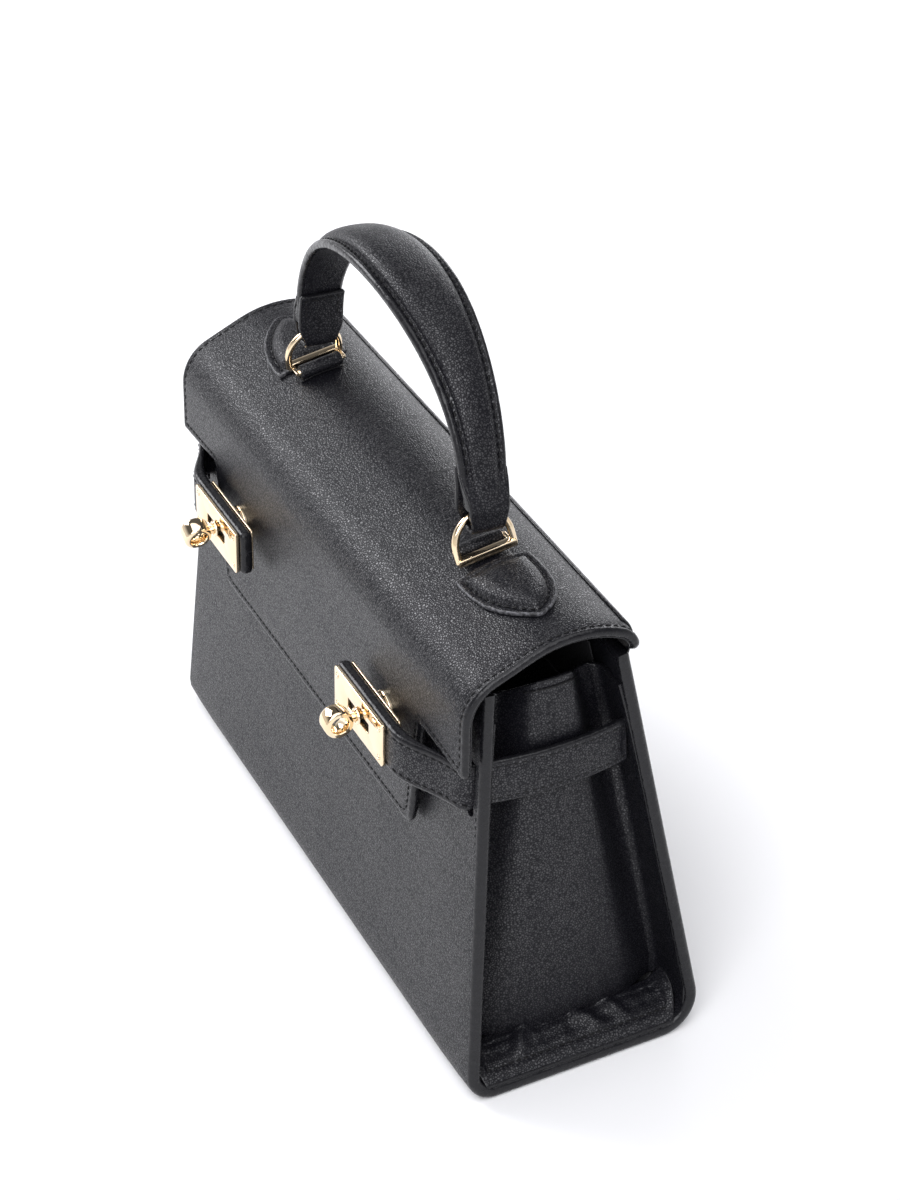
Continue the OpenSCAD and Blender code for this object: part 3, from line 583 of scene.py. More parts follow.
def gusset_base(a, z):
    """A point of the gusset's outer face: a runs from -1 at the front edge to 1 at the back."""
    low, high = room_front(z), room_back(z)
    middle = (high - low) / 2 - crease_r
    centre_y = (low + high) / 2
    side = -1 if a < 0 else 1
    a = abs(a)
    gx = gusset_low_x - z * math.tan(math.radians(gusset_tilt))
    slack = 1.0 + 5.0 * (max(z, 0) / gusset_top) ** 1.3
    edge_x = gx - middle ** 2 / 2 / gusset_bulge_r - slack
    if a <= 0.7:
        t = a / 0.7
        share = (max(z, 0) / gusset_top) ** 2
        fall = smooth((t - 0.6 + 0.3 * share) / (0.4 + 0.1 * share))
        swell = slack * (1 - 2 * fall) - 3.0 * share * min(t, 0.5) ** 2
        x = gx - (t * middle) ** 2 / 2 / gusset_bulge_r + swell
        x += 0.5 * noise.noise(Vector((a * side * 3, z / 30, 2.5)))
        y = t * middle
    elif a <= 0.8:
        fall = 1
        turn = math.radians((a - 0.7) * 900)
        x = edge_x + crease_r * (1 - math.cos(turn))
        y = middle + crease_r * math.sin(turn)
    else:
        fall = 1
        x = edge_x + crease_r + (a - 0.8) / 0.2 * (half_w(z) - 1.2 - edge_x - crease_r)
        y = middle + crease_r
    dip = (9.5 * fall - 2.5) * (max(z, 0) / gusset_top) ** 8
    return Vector((x, centre_y + side * y, z - dip))


def gusset_place(side):
    def place(u, v, w):
        a, e = u / 50, 0.004
        point = gusset_base(a, v)
        along = gusset_base(min(a + e, 1), v) - gusset_base(max(a - e, -1), v)
        up = gusset_base(a, v + 0.4) - gusset_base(a, v - 0.4)
        out = along.cross(up).normalized()
        point = point + out * w
        return Vector((side * point.x, point.y, point.z))
    return place


def ledge_place(side):
    def place(u, v, w):
        rise = min(max(v / 15, 0), 1)
        z = 5.9 + 6.48 * smooth(rise) + 1.3 * math.sin(math.pi * rise)
        low, high = room_front(z) + 0.3, room_back(z) - 0.3
        y = low + (u + ledge_half) / (2 * ledge_half) * (high - low)
        pucker = noise.noise(Vector((y / 3.6, v / 9, side * 4))) * 0.7
        for at, slant, high_by, wide in ((-19, 0.5, 2.4, 3.4), (6, -0.7, 2.1, 3.0),
                                         (17, -0.5, 1.5, 2.6), (-4, 0.4, 0.9, 2.4)):
            pucker += high_by * math.exp(-((y - at - slant * (v - 9)) / wide) ** 2) - high_by / 3
        fade = min(1, max(0, v - ledge_stitch) / 4.5) * min(1, (ledge_half - abs(u)) / 6)
        corner = 2.2 * max(0, (abs(u) - 32) / 8) ** 2 * rise - 0.9 * max(0, 1 - v / 1.8) ** 2
        x = 129.5 - v * 1.08
        return Vector((side * (x + 0.25 * w), y, z + corner + pucker * fade + w))
    return place


gusset_stitches = bmesh.new()
for side, hand in both_sides:
    wall_columns = [50 * a * s for s in (-1, 1) for a in (
        [0.08, 0.16, 0.24] + [0.3 + 0.04 * k for k in range(10)] + [0.68, 0.7]
        + [0.715 + 0.015 * k for k in range(5)] + [0.8, 0.9])] + [0]
    gusset = lay_piece("gusset_leather_" + hand, cut_leather(
        [(-50, gusset_foot), (50, gusset_foot), (50, gusset_top), (-50, gusset_top)],
        gusset_t, 0.5, wall_columns, steps(gusset_foot, 138, 7) + steps(138, gusset_top, 1.5),
        groove_at=0), gusset_place(side), "bag", groove=0)
    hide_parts("gusset_" + hand)
    sew(gusset_stitches, [(a * 2, gusset_top - 2.6) for a in range(-9, 10)], gusset_place(side),
        sunk=-0.15)
    lay_piece("ledge_leather_" + hand, cut_leather(
        [(-ledge_half, 0), (ledge_half, 0), (ledge_half, ledge_run), (-ledge_half, ledge_run)],
        gusset_t, 0.5, steps(-ledge_half, ledge_half, 1.1), steps(0, ledge_run, 1.1)),
        ledge_place(side), "bag", groove_at=ledge_stitch, groove=0.5)
    sew(gusset_stitches, [(u * (ledge_half - 3), ledge_stitch) for u in (-1, 1)],
        ledge_place(side), sunk=0.3)
make_piece("gusset_stitches", gusset_stitches, "bag", [thread])

# The linings: black woven cloth glued inside the panels, the base and the gussets, with one
# slip pocket sewn to the back.
lining_t = 0.7
lining_depth = shell_t + 0.15
cloth_black = (0.02, 0.02, 0.022, 1)


def build_weave():
    """Plain weave: two crossing families of threads."""
    group, entry, leave = new_group("plain_weave", [("Threads per metre", 2400)], ["Height"])
    where = group.nodes.new("ShaderNodeTexCoord").outputs["Object"]
    ribs = []
    for direction in ("X", "Z"):
        wave = group.nodes.new("ShaderNodeTexWave")
        wave.bands_direction = direction
        wave.inputs["Distortion"].default_value = 0.6
        group.links.new(where, wave.inputs["Vector"])
        group.links.new(maths(group, "MULTIPLY", entry.outputs[0], 0.16), wave.inputs["Scale"])
        ribs.append(wave.outputs["Fac"])
    group.links.new(maths(group, "MULTIPLY", ribs[0], ribs[1]), leave.inputs["Height"])
    return group


plain_weave = build_weave()
lining_cloth = new_finish("black_lining_cloth", cloth_black, 0.75)
weave = use_group(lining_cloth, plain_weave)
mix_colours(lining_cloth, weave.outputs["Height"], (0.009, 0.009, 0.01, 1),
            (0.03, 0.03, 0.033, 1))
add_bump(lining_cloth, weave.outputs["Height"], 0.0002)


def lining_place(course, depth):
    inner = panel_place(course)

    def place(u, v, w):
        ripple = 0.25 * noise.noise(Vector((u / 25, v / 25, depth)))
        return inner(u, v, w - depth + ripple)
    return place


for part, course, ends in (("front", front_course, (7, 0)), ("back", back_course, (0, 7)),
                           ("base", base_course, (0, 0))):
    low, high = ends[0], course.length - ends[1]
    outline = [(side * (half_w(course.at(s)[0].y) - 21), s)
               for side, run in ((-1, (low, high)), (1, (high, low))) for s in run]
    cloth = lay_piece(part + "_lining_cloth", cut_leather(
        outline, lining_t, 0.3, steps(-110, 110, 12), steps(low, high, 3), groove_at=0),
        lining_place(course, lining_depth), "bag", "lining", [lining_cloth] * 2, groove=0)
    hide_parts(part + "_lining")
pocket_half, pocket_h, pocket_foot, pocket_stitch = 70, 78, 36, 2.5
pocket_low = (back_course.length
              - (panel_h - pocket_foot) / math.cos(math.radians(panel_lean)))
pocket_high = pocket_low + pocket_h
pocket_place = lining_place(back_course, lining_depth + lining_t + 0.1)
pocket = lay_piece("pocket_cloth", cut_leather(
    [(-pocket_half, pocket_low), (pocket_half, pocket_low), (pocket_half, pocket_high),
     (-pocket_half, pocket_high)], 1.0, 0.45, steps(-pocket_half, pocket_half, 8),
    steps(pocket_low, pocket_high, 8), groove_at=pocket_stitch),
    pocket_place, "bag", "lining", [lining_cloth] * 2, groove=0)
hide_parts("slip_pocket")
pocket_stitches = bmesh.new()
pocket_row = pocket_half - pocket_stitch, pocket_low + pocket_stitch
sew(pocket_stitches, [(-pocket_row[0], pocket_high - 1), (-pocket_row[0], pocket_row[1]),
                      pocket_row, (pocket_row[0], pocket_high - 1)], pocket_place, sunk=1.0)
make_piece("pocket_stitches", pocket_stitches, "bag", [thread])
for side, hand in both_sides:
    outer = gusset_place(side)
    cloth = lay_piece("gusset_lining_cloth_" + hand, cut_leather(
        [(-34, 14), (34, 14), (34, gusset_top - 1), (-34, gusset_top - 1)], lining_t, 0.3,
        steps(-34, 34, 4), steps(14, gusset_top - 1, 6), groove_at=0),
        lambda u, v, w, outer=outer: outer(u, v, w - gusset_t - 0.05),
        "bag", "lining", [lining_cloth] * 2, groove=0)
    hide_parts("gusset_lining_" + hand)

# The side straps: stitched double leather that bows outwards across each gusset, from its slot in
# the front panel to the back panel, where it is sewn down.
strap_bulge = 3
side_y0, side_y1 = front_y(strap_z, shell_t) - 4, back_y(strap_z, shell_t) - 0.4
side_chord = back_y(strap_z, shell_t) - front_y(strap_z, shell_t)
bow_r = ((side_chord / 2) ** 2 + strap_bulge ** 2) / 2 / strap_bulge
bow_mid = (back_y(strap_z, shell_t) + front_y(strap_z, shell_t)) / 2
strap_stitch = 2.3
strap_stitches = bmesh.new()
bow_centre = (pivot_x + strap_bulge - bow_r, bow_mid)
bow_low = math.degrees(math.asin((side_y0 - bow_mid) / bow_r))
bow_high = math.degrees(math.asin((side_y1 - bow_mid) / bow_r))
side_course = Course(bow(bow_centre, bow_r + strap_t / 2, bow_low, bow_high, 1.5))
for side, hand in both_sides:
    def side_strap_place(u, v, w, side=side):
        p, n = side_course.at(v)
        return Vector((side * (p.x + n.x * w), p.y + n.y * w, strap_z + u))

    strap = lay_piece("side_strap_leather_" + hand, cut_leather(
        [(-strap_w / 2, 0), (strap_w / 2, 0), (strap_w / 2, side_course.length),
         (-strap_w / 2, side_course.length)],
        strap_t, 1.1, steps(-strap_w / 2, strap_w / 2, 4), steps(0, side_course.length, 3),
        groove_at=strap_stitch), side_strap_place, "bag", groove_at=strap_stitch, puff=0.35,
        reach=8)
    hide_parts("side_strap_" + hand)
    for edge in (-1, 1):
        row_u = edge * (strap_w / 2 - strap_stitch)
        sew(strap_stitches, [(row_u, 1), (row_u, side_course.length - 1)], side_strap_place)
make_piece("side_strap_stitches", strap_stitches, "bag", [thread])

# The flap: a wide leather cover over a thin leather lining, bent over the bag's top. Two ears end
# above the straps, and a tongue with rounded corners hangs between them. All its edges are painted.
flap_w, flap_lean, shoulder_r, flap_slope, slope_len = 243, 3.9, 17.3, 22, 14
crown_r, rear_r = 40, 10
flap_t, flap_skin = 3.6, 3.1
hinge_dir, crown_dir = -17.5, 64
hinge = Vector((back_y(panel_h), panel_h + 0.6))
rear_c = hinge - (rear_r - flap_t / 2) * toward(hinge_dir)
crown_c = rear_c + (rear_r - crown_r) * toward(crown_dir)
slope_top = crown_c + crown_r * toward(90 + flap_slope)
slope_foot = slope_top - slope_len * toward(flap_slope)
shoulder_c = slope_foot - shoulder_r * toward(90 + flap_slope)
front_top = shoulder_c + shoulder_r * toward(180 - flap_lean)
tongue_z, tongue_half_w, tongue_corner_r = 82.3, 82, 5
notch_half_w, ear_z, notch_z = 89.5, 126.1, 127.5
rear_corner_r = 8
flap_course = Course(
    bow(rear_c, rear_r, hinge_dir, crown_dir) + bow(crown_c, crown_r, crown_dir, 90 + flap_slope)
    + bow(shoulder_c, shoulder_r, 90 + flap_slope, 180 - flap_lean)
    + [(front_top + 70 * toward(-90 - flap_lean), toward(180 - flap_lean))])
front_s = flap_course.far[-2]


def flap_s(z):
    return front_s + (front_top.y - z) / math.cos(math.radians(flap_lean))


def flap_place(u, v, w):
    p, n = flap_course.at(v)
    return Vector((u, p.x + n.x * w, p.y + n.y * w))


def flap_half_outline(inset):
    """The right half of the flap's edge, from the rear's middle to the tongue's middle."""
    half, ear, notch = flap_w / 2 - inset, flap_s(ear_z) - inset, flap_s(notch_z) - inset
    foot = flap_s(tongue_z) - inset
    side_a = math.degrees(math.atan2(flap_s(tongue_z) - flap_s(notch_z),
                                     notch_half_w - tongue_half_w))
    corner = Vector((tongue_half_w - inset - 4.6, foot - tongue_corner_r))
    rear = Vector((half - rear_corner_r + inset, rear_corner_r))
    rounding = [tuple(rear + (rear_corner_r - inset) * toward(-90 + 15 * k)) for k in range(7)]
    return (rounding + [(half, ear - 2), (half - 0.5, ear - 0.6), (half - 1.8, ear)]
            + [(notch_half_w - inset + 0.8, notch + 0.1), (notch_half_w - inset, notch + 0.9)]
            + [tuple(corner + tongue_corner_r * toward(90 - side_a + k * side_a / 5))
               for k in range(6)])


def whole_outline(half_outline):
    return [(-u, v) for u, v in half_outline] + list(reversed(half_outline))


rows_of_flap = (steps(0, 15, 1.0) + [15] + steps(15, 48, 2) + [48] + steps(48, 62, 4)
                + [62] + steps(62, 82, 1.2) + [82] + steps(82, 146, 6))
flap_cover = lay_piece("flap_cover", cut_leather(
    whole_outline(flap_half_outline(0)), flap_skin, 1.5, steps(-flap_w / 2, flap_w / 2, 9),
    rows_of_flap), flap_place, "flap")
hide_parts("flap_leather")
inner_leather = new_leather("smooth_lining_leather", (0.012, 0.011, 0.011, 1), 1500, 0.00006,
                            0.5, 0.62)
flap_inner = lay_piece("flap_inner", cut_leather(
    whole_outline(flap_half_outline(1.3)), 0.8, 0.35, steps(-flap_w / 2, flap_w / 2, 18),
    rows_of_flap, groove_at=0), lambda u, v, w: flap_place(u, v, w - flap_skin + 0.2),
    "flap", "flap_lining", [inner_leather, edge_paint], groove=0)
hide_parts("flap_lining")
flap_stitches = bmesh.new()
sew(flap_stitches, whole_outline(flap_half_outline(stitch_inset)), flap_place)
make_piece("flap_stitches", flap_stitches, "flap", [thread])

# The hinge: a thin leather strip glued over the joint between the back panel and the flap.
strip_run, strip_half, strip_t = 9, 114, 1.0
hinge_course = Course(
    [((back_y(z), z), toward(panel_lean)) for z in (panel_h - strip_run, panel_h - 3)]
    + bow(rear_c, rear_r, hinge_dir + 14, hinge_dir + 14 + 52))
hinge_strip = lay_piece("hinge_strip", cut_leather(
    [(-strip_half, 0), (strip_half, 0), (strip_half, hinge_course.length),
     (-strip_half, hinge_course.length)], strip_t, 0.4, steps(-strip_half, strip_half, 16),
    steps(0, hinge_course.length, 1.0), groove_at=0),
    lambda u, v, w: Vector((u, *(hinge_course.at(v)[0] + hinge_course.at(v)[1] * (w + 0.85)))),
    None, groove=0)
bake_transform(hinge_strip)

# The handle: a flat stitched leather band bent into an arch, and a padded crown of leather over
# a foam core, sewn down between the band's edges.
handle_y, handle_half_span, handle_rise = -1, 65, 49
leg_z, loop_top, bow_z = 189.995, 187.495, 174.783
handle_lean = 4.5
band_h, band_end_h = 3.5, 7.7
end_w, mid_w = 16, 28
welt_w, band_stitch = 3.5, 2.5
pad_mid_h, pad_end_h = 3.4, 1.2
lean_back = (Matrix.Translation((0, handle_y, bow_z))
             @ turn_by(-handle_lean)
             @ Matrix.Translation((0, -handle_y, -bow_z)))
arch = Course([((handle_half_span, loop_top), (1, 0))] + [
    ((handle_half_span * toward(t).x, leg_z + handle_rise * toward(t).y),
     Vector((handle_rise * toward(t).x, handle_half_span * toward(t).y)).normalized())
    for t in range(0, 181, 3)] + [((-handle_half_span, loop_top), (-1, 0))])


def mid_share(s):
    return math.sin(math.pi * min(max(s / arch.length, 0), 1)) ** 2


def handle_half(s):
    return (end_w + (mid_w - end_w) * mid_share(s)) / 2 - 1.1 * end_share(s)


def end_share(s):
    """1 at the handle's ends, and 0 past their last eleven millimetres."""
    return 1 - smooth(min(s, arch.length - s) / 11)


def band_top(s):
    return band_h + (band_end_h - band_h) * end_share(s)


def arch_point(u, s, h):
    p, n = arch.at(s)
    return Vector((p.x + n.x * h, handle_y + u, p.y + n.y * h))


def band_place(u, v, w):
    return arch_point(u, v, band_top(v) * (1 + w / band_h))


samples = [0] + steps(0, arch.length, 5) + [arch.length]
handle_band = lay_piece("handle_band", cut_leather(
    [(-handle_half(s), s) for s in samples] + [(handle_half(s), s) for s in reversed(samples)],
    band_h, 1.5, steps(-14, 14, 0.8), steps(0, arch.length, 2.5),
    lambda u, s: s < 1e-3 or s > arch.length - 1e-3, groove_at=0), band_place, "handle",
    matrix=lean_back, groove_at=band_stitch, groove=0.6)
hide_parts("handle_strap")

pad_mesh = bmesh.new()
pad_n = 16
pad_stations = [0.5] + steps(0.5, arch.length - 0.5, 2.2) + [arch.length - 0.5]


def pad_ring(s):
    """The pad's section: a crown from welt to welt, with its foot sunk into the band."""
    half = handle_half(s) - welt_w
    rise = (pad_end_h + (pad_mid_h - pad_end_h) * mid_share(s) ** 0.6) * (1 - 0.9 * end_share(s))
    top = band_top(s)
    crown = []
    for k in range(pad_n + 1):
        a = math.radians(180 - 180 * k / pad_n)
        crown.append(arch_point(half * math.copysign(abs(math.cos(a)) ** 0.85, math.cos(a)), s,
                                top - 0.45 + (rise + 0.45) * math.sin(a) ** 0.8))
    return crown + [arch_point(half, s, top - 1.6), arch_point(-half, s, top - 1.6)]


ring_verts = [pad_mesh.verts.new(p) for p in pad_ring(pad_stations[0])]
ring_edges = [pad_mesh.edges.new((a, b))
              for a, b in zip(ring_verts, ring_verts[1:] + ring_verts[:1])]
pad_mesh.faces.new(ring_verts)
for s in pad_stations[1:]:
    made = bmesh.ops.extrude_edge_only(pad_mesh, edges=ring_edges)["geom"]
    ring_edges = edges_in(made)
    new_verts = []
    for vert in ring_verts:
        new_verts.append(next(e.other_vert(vert) for e in vert.link_edges
                              if e.other_vert(vert) in made))
    for vert, p in zip(new_verts, pad_ring(s)):
        vert.co = p
    ring_verts = new_verts
pad_mesh.faces.new(ring_verts)
handle_pad = make_piece("handle_pad", pad_mesh, None, [leather])


def swell(piece, pinned, pressure, cap, stiffness):
    """Blows a padded piece up as cloth round its filling, then caps how far each point moved."""
    rest = [v.co.copy() for v in piece.data.vertices]
    held = piece.vertex_groups.new(name="sewn")
    held.add([k for k, p in enumerate(rest) if pinned(p)], 1.0, "REPLACE")
    cloth = piece.modifiers.new("filling", "CLOTH")
    cloth.settings.quality = 6
    cloth.settings.mass = 0.25
    for kind in ("tension", "compression", "shear"):
        setattr(cloth.settings, kind + "_stiffness", stiffness)
    cloth.settings.bending_stiffness = 2.0
    cloth.settings.vertex_group_mass = "sewn"
    cloth.settings.use_pressure = True
    cloth.settings.uniform_pressure_force = pressure
    cloth.settings.effector_weights.gravity = 0
    cloth.collision_settings.use_collision = False
    cloth.point_cache.frame_start, cloth.point_cache.frame_end = 1, 20
    for number in range(1, 21):
        bpy.context.scene.frame_set(number)
    graph = bpy.context.evaluated_depsgraph_get()
    swollen = [v.co.copy() for v in piece.evaluated_get(graph).data.vertices]
    bpy.context.scene.frame_set(1)
    piece.modifiers.remove(cloth)
    piece.vertex_groups.clear()
    for vert, before, after in zip(piece.data.vertices, rest, swollen):
        move = after - before
        if move.length > cap:
            move *= cap / move.length
        vert.co = before + move


def pad_is_sewn(p):
    """True for the pad's foot, which the stitches hold."""
    x, z = p.x / MM, p.z / MM
    here = Vector((x, z))
    s = min((arch.length * k / 100 for k in range(101)),
            key=lambda far: (arch.at(far)[0] - here).length)
    middle, out = arch.at(s)
    return (here - middle).dot(out) < band_top(s) + 0.2 or z < loop_top + 4


swell(handle_pad, pad_is_sewn, 4.0, 0.9 * MM, 12)
handle_pad.data.transform(Matrix.Diagonal((MM, MM, MM, 1)) @ lean_back
                          @ Matrix.Diagonal((1 / MM, 1 / MM, 1 / MM, 1)))
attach(handle_pad, "handle")
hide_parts("handle_cover", "handle_core")
handle_stitches = bmesh.new()
for edge in (-1, 1):
    sew(handle_stitches, [(edge * (handle_half(s) - band_stitch), s)
                          for s in steps(7, arch.length - 7, 3)], band_place, sunk=0.1)

# The handle's end loops: the band's leather folded round the ring, with its end turned up along
# the inner side and stitched there.
loop_t = 1.8
cavity_x, loop_foot = 71.0858, 178.4
loop_corner = 3.6
nose_w, tab_w, tab_stitch = 11.4, 16.6, 2.4
tab_marks = [(p - n * loop_t, -n) for p, n in (arch.at(s) for s in (13, 11, 9, 7, 5, 3, 0))]
loop_left_x = handle_half_span - loop_t
loop_course = Course(
    tab_marks
    + bow((loop_left_x + loop_corner, loop_foot + loop_corner), loop_corner, 180, 270, 12)
    + bow((cavity_x + loop_t - loop_corner, loop_foot + loop_corner), loop_corner, -90, 0, 12)
    + [((cavity_x + loop_t + 0.1, loop_top), (1, 0))]
    + [(p + n * (band_top(s) + 0.3 - 0.075 * s), n)
       for s, (p, n) in ((s, arch.at(s)) for s in (1.5, 3, 4.5, 6, 7.5, 9, 10.5))])
loop_join = loop_course.far[-8]


def loop_half(s):
    """Half the loop's width: the tab's, then narrowing to the nose, and the band's at its end."""
    if s > loop_join:
        return handle_half(s - loop_join) + 0.05
    z = loop_course.at(s)[0].y
    share = smooth((z - loop_foot - 1) / (loop_top - loop_foot - 1))
    full = tab_w / 2 if s < loop_course.length / 2 else handle_half(0)
    return nose_w / 2 + (full - nose_w / 2) * share


for side, hand in both_sides:
    def loop_place(u, v, w, side=side):
        p, n = loop_course.at(v)
        return Vector((side * (p.x + n.x * w), handle_y + u, p.y + n.y * w))

    half = tab_w / 2
    edge_line = [(half - 0.6, 0), (half, 0.6)] + [
        (loop_half(s), s) for s in steps(1, loop_course.length, 1.2) + [loop_course.length]]
    loop = lay_piece("handle_loop_leather_" + hand, cut_leather(
        whole_outline(edge_line), loop_t, 0.7, [-4, 0, 4], steps(0, loop_course.length, 0.9),
        lambda u, s: s > loop_course.length - 1e-3, groove_at=0), loop_place, "handle",
        matrix=lean_back, groove_at=tab_stitch, groove=0.2)
    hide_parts("handle_loop_" + hand)
    row_u = half - tab_stitch
    sew(handle_stitches, [(-row_u, 9), (-row_u, 1.8), (row_u, 1.8), (row_u, 9)], loop_place,
        sunk=0)
make_piece("handle_stitches", handle_stitches, "handle", [thread], matrix=lean_back)

# The rings: cast metal plated in light gold and polished. Each is a flat square-ended bar with a
# pin beside it, and a bow of round wire that leans in through the handle's loop.
ring_r, ring_leg, wire_r, ring_lean = 9.7, 4, 1.2, 14
bar_w, pin_offset, pin_r = 2.4, 5.4, 1.1
ring_x, ring_z = 70.5313, 170.902
pin_x = ring_x - pin_offset
gold_light, gold_deep = (0.88, 0.77, 0.6, 1), (0.84, 0.62, 0.36, 1)


def build_polish():
    """Polished plating: faint wiping marks and a slow change of tone."""
    group, entry, leave = new_group("wiped_polish", [("Marks per metre", 700)],
                                    ["Marks", "Tone"])
    where = group.nodes.new("ShaderNodeTexCoord").outputs["Object"]
    stretch = group.nodes.new("ShaderNodeVectorMath")
    stretch.operation = "MULTIPLY"
    stretch.inputs[1].default_value = (1, 1, 6)
    group.links.new(where, stretch.inputs[0])
    marks = group.nodes.new("ShaderNodeTexNoise")
    group.links.new(stretch.outputs[0], marks.inputs["Vector"])
    group.links.new(entry.outputs[0], marks.inputs["Scale"])
    group.links.new(marks.outputs["Fac"], leave.inputs["Marks"])
    group.links.new(noise_value(group, where, 120, 2), leave.inputs["Tone"])
    return group


wiped_polish = build_polish()


def new_metal(name, deep, light, rough_low, rough_high):
    finish = new_finish(name, light, rough_low, 1.0)
    tree = finish.node_tree
    wiping = use_group(finish, wiped_polish)
    mix_colours(finish, wiping.outputs["Tone"], deep, light)
    tree.links.new(remap(tree, wiping.outputs["Marks"], 0.3, 0.7, rough_low, rough_high),
                   tree.nodes["Principled BSDF"].inputs["Roughness"])
    add_bump(finish, wiping.outputs["Marks"], 0.000006)
    return finish


gold = new_metal("polished_light_gold", gold_deep, gold_light, 0.03, 0.07)


def add_box(bm, low, high, bevel_by, matrix=Matrix.Identity(4)):
    """A block with eased edges."""
    size = Vector(high) - Vector(low)
    middle = (Vector(high) + Vector(low)) / 2
    made = bmesh.ops.create_cube(bm, size=1, matrix=Matrix.Translation(middle)
                                 @ Matrix.Diagonal((*size, 1)))["verts"]
    eased = ease_edges(bm, list({e for v in made for e in v.link_edges}), bevel_by)
    own = {v for f in eased["faces"] for v in f.verts}
    own |= {v for f in bm.faces for v in f.verts if all(x in own for x in f.verts)}
    bmesh.ops.transform(bm, matrix=matrix, verts=list(own))


def add_turned(bm, profile, matrix, steps_round=40, closed=False):
    """Spins a profile of (radius, height) about Z and puts it in place."""
    verts = [bm.verts.new((r, 0, h)) for r, h in profile]
    pairs = list(zip(verts, verts[1:])) + ([(verts[-1], verts[0])] if closed else [])
    edges = [bm.edges.new(pair) for pair in pairs]
    before = set(bm.verts) - set(verts)
    bmesh.ops.spin(bm, geom=verts + edges, cent=(0, 0, 0), axis=(0, 0, 1),
                   angle=2 * math.pi, steps=steps_round, use_merge=True)
    own = [v for v in bm.verts if v not in before]
    bmesh.ops.remove_doubles(bm, verts=own, dist=1e-4)
    own = [v for v in bm.verts if v not in before]
    bmesh.ops.transform(bm, matrix=matrix, verts=own)


def rod_profile(radius, length, ease):
    """A rod's profile with eased ends, centred on its length."""
    h = length / 2
    return [(0, -h), (radius - ease, -h), (radius - ease * 0.3, -h + ease * 0.3),
            (radius, -h + ease), (radius, h - ease), (radius - ease * 0.3, h - ease * 0.3),
            (radius - ease, h), (0, h)]


def mirror_of(side):
    """Turns the right side's frame into the left one's."""
    return Matrix.Scale(-1, 4, (1, 0, 0)) if side < 0 else Matrix.Identity(4)


lay_along_y = turn_by(90)
crown_tilt = turn_by(7)
for side, hand in both_sides:
    ring_mesh = bmesh.new()
    bar_l = 2 * (ring_r + 0.6)
    add_box(ring_mesh, (-bar_w / 2, -bar_l / 2, -bar_w / 2 + 0.3),
            (bar_w / 2 + 0.5, bar_l / 2, bar_w / 2 + 0.3), 0.3)
    for y in (-ring_r + 0.9, ring_r - 0.9):
        add_box(ring_mesh, (-pin_offset - pin_r * 0.6, y - 0.7, -0.8), (0, y + 0.7, 0.6), 0.25)
    add_turned(ring_mesh, rod_profile(pin_r, 2 * ring_r - 2.4, 0.2),
               Matrix.Translation((-pin_offset, 0, 0)) @ lay_along_y, 24)
    tube = bmesh.new()
    bmesh.ops.create_circle(tube, segments=20, radius=wire_r,
                            matrix=Matrix.Translation((0, ring_r, 0)))
    made = bmesh.ops.extrude_edge_only(tube, edges=tube.edges[:])["geom"]
    bmesh.ops.translate(tube, vec=(0, 0, ring_leg), verts=verts_in(made))
    made = bmesh.ops.spin(tube, geom=edges_in(made), cent=(0, 0, ring_leg), axis=(1, 0, 0),
                          angle=math.pi, steps=32, use_merge=False)["geom_last"]
    made = bmesh.ops.extrude_edge_only(tube, edges=edges_in(made))["geom"]
    bmesh.ops.translate(tube, vec=(0, 0, -ring_leg), verts=verts_in(made))
    bmesh.ops.holes_fill(tube, edges=[e for e in tube.edges if e.is_boundary], sides=0)
    bmesh.ops.transform(tube, matrix=turn_by(-ring_lean, "Y"), verts=tube.verts[:])
    pour_into(ring_mesh, tube)
    place = mirror_of(side) @ Matrix.Translation((ring_x, handle_y, ring_z)) @ crown_tilt
    ring = make_piece("ring_metal_" + hand, ring_mesh, "ring_" + hand, [gold],
                      matrix=place)
    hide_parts("ring_" + hand)

# The ring holders: a small leather roll round each ring's pin, whose strip runs out under the bar
# to a shield-shaped patch, puffed up and stitched to the flap.
roll_r, roll_len = 2.45, 15.8
scuffed_paint, scuffs = speckled_finish(
    "scuffed_edge_paint", (0.03, 0.03, 0.032, 1), 0.45, 900, 4, (0.012, 0.012, 0.014, 1),
    (0.1, 0.1, 0.11, 1), (0.42, 0.62))
add_bump(scuffed_paint, scuffs, 0.0003)
patch_x, patch_t, patch_stitch = 73.4, 1.6, 2.7


def flap_s_of_y(y):
    """The distance along the flap's crown at a depth."""
    low, high = 10.0, 75.0
    for _ in range(40):
        middle = (low + high) / 2
        if flap_course.at(middle)[0].x > y:
            low = middle
        else:
            high = middle
    return (low + high) / 2


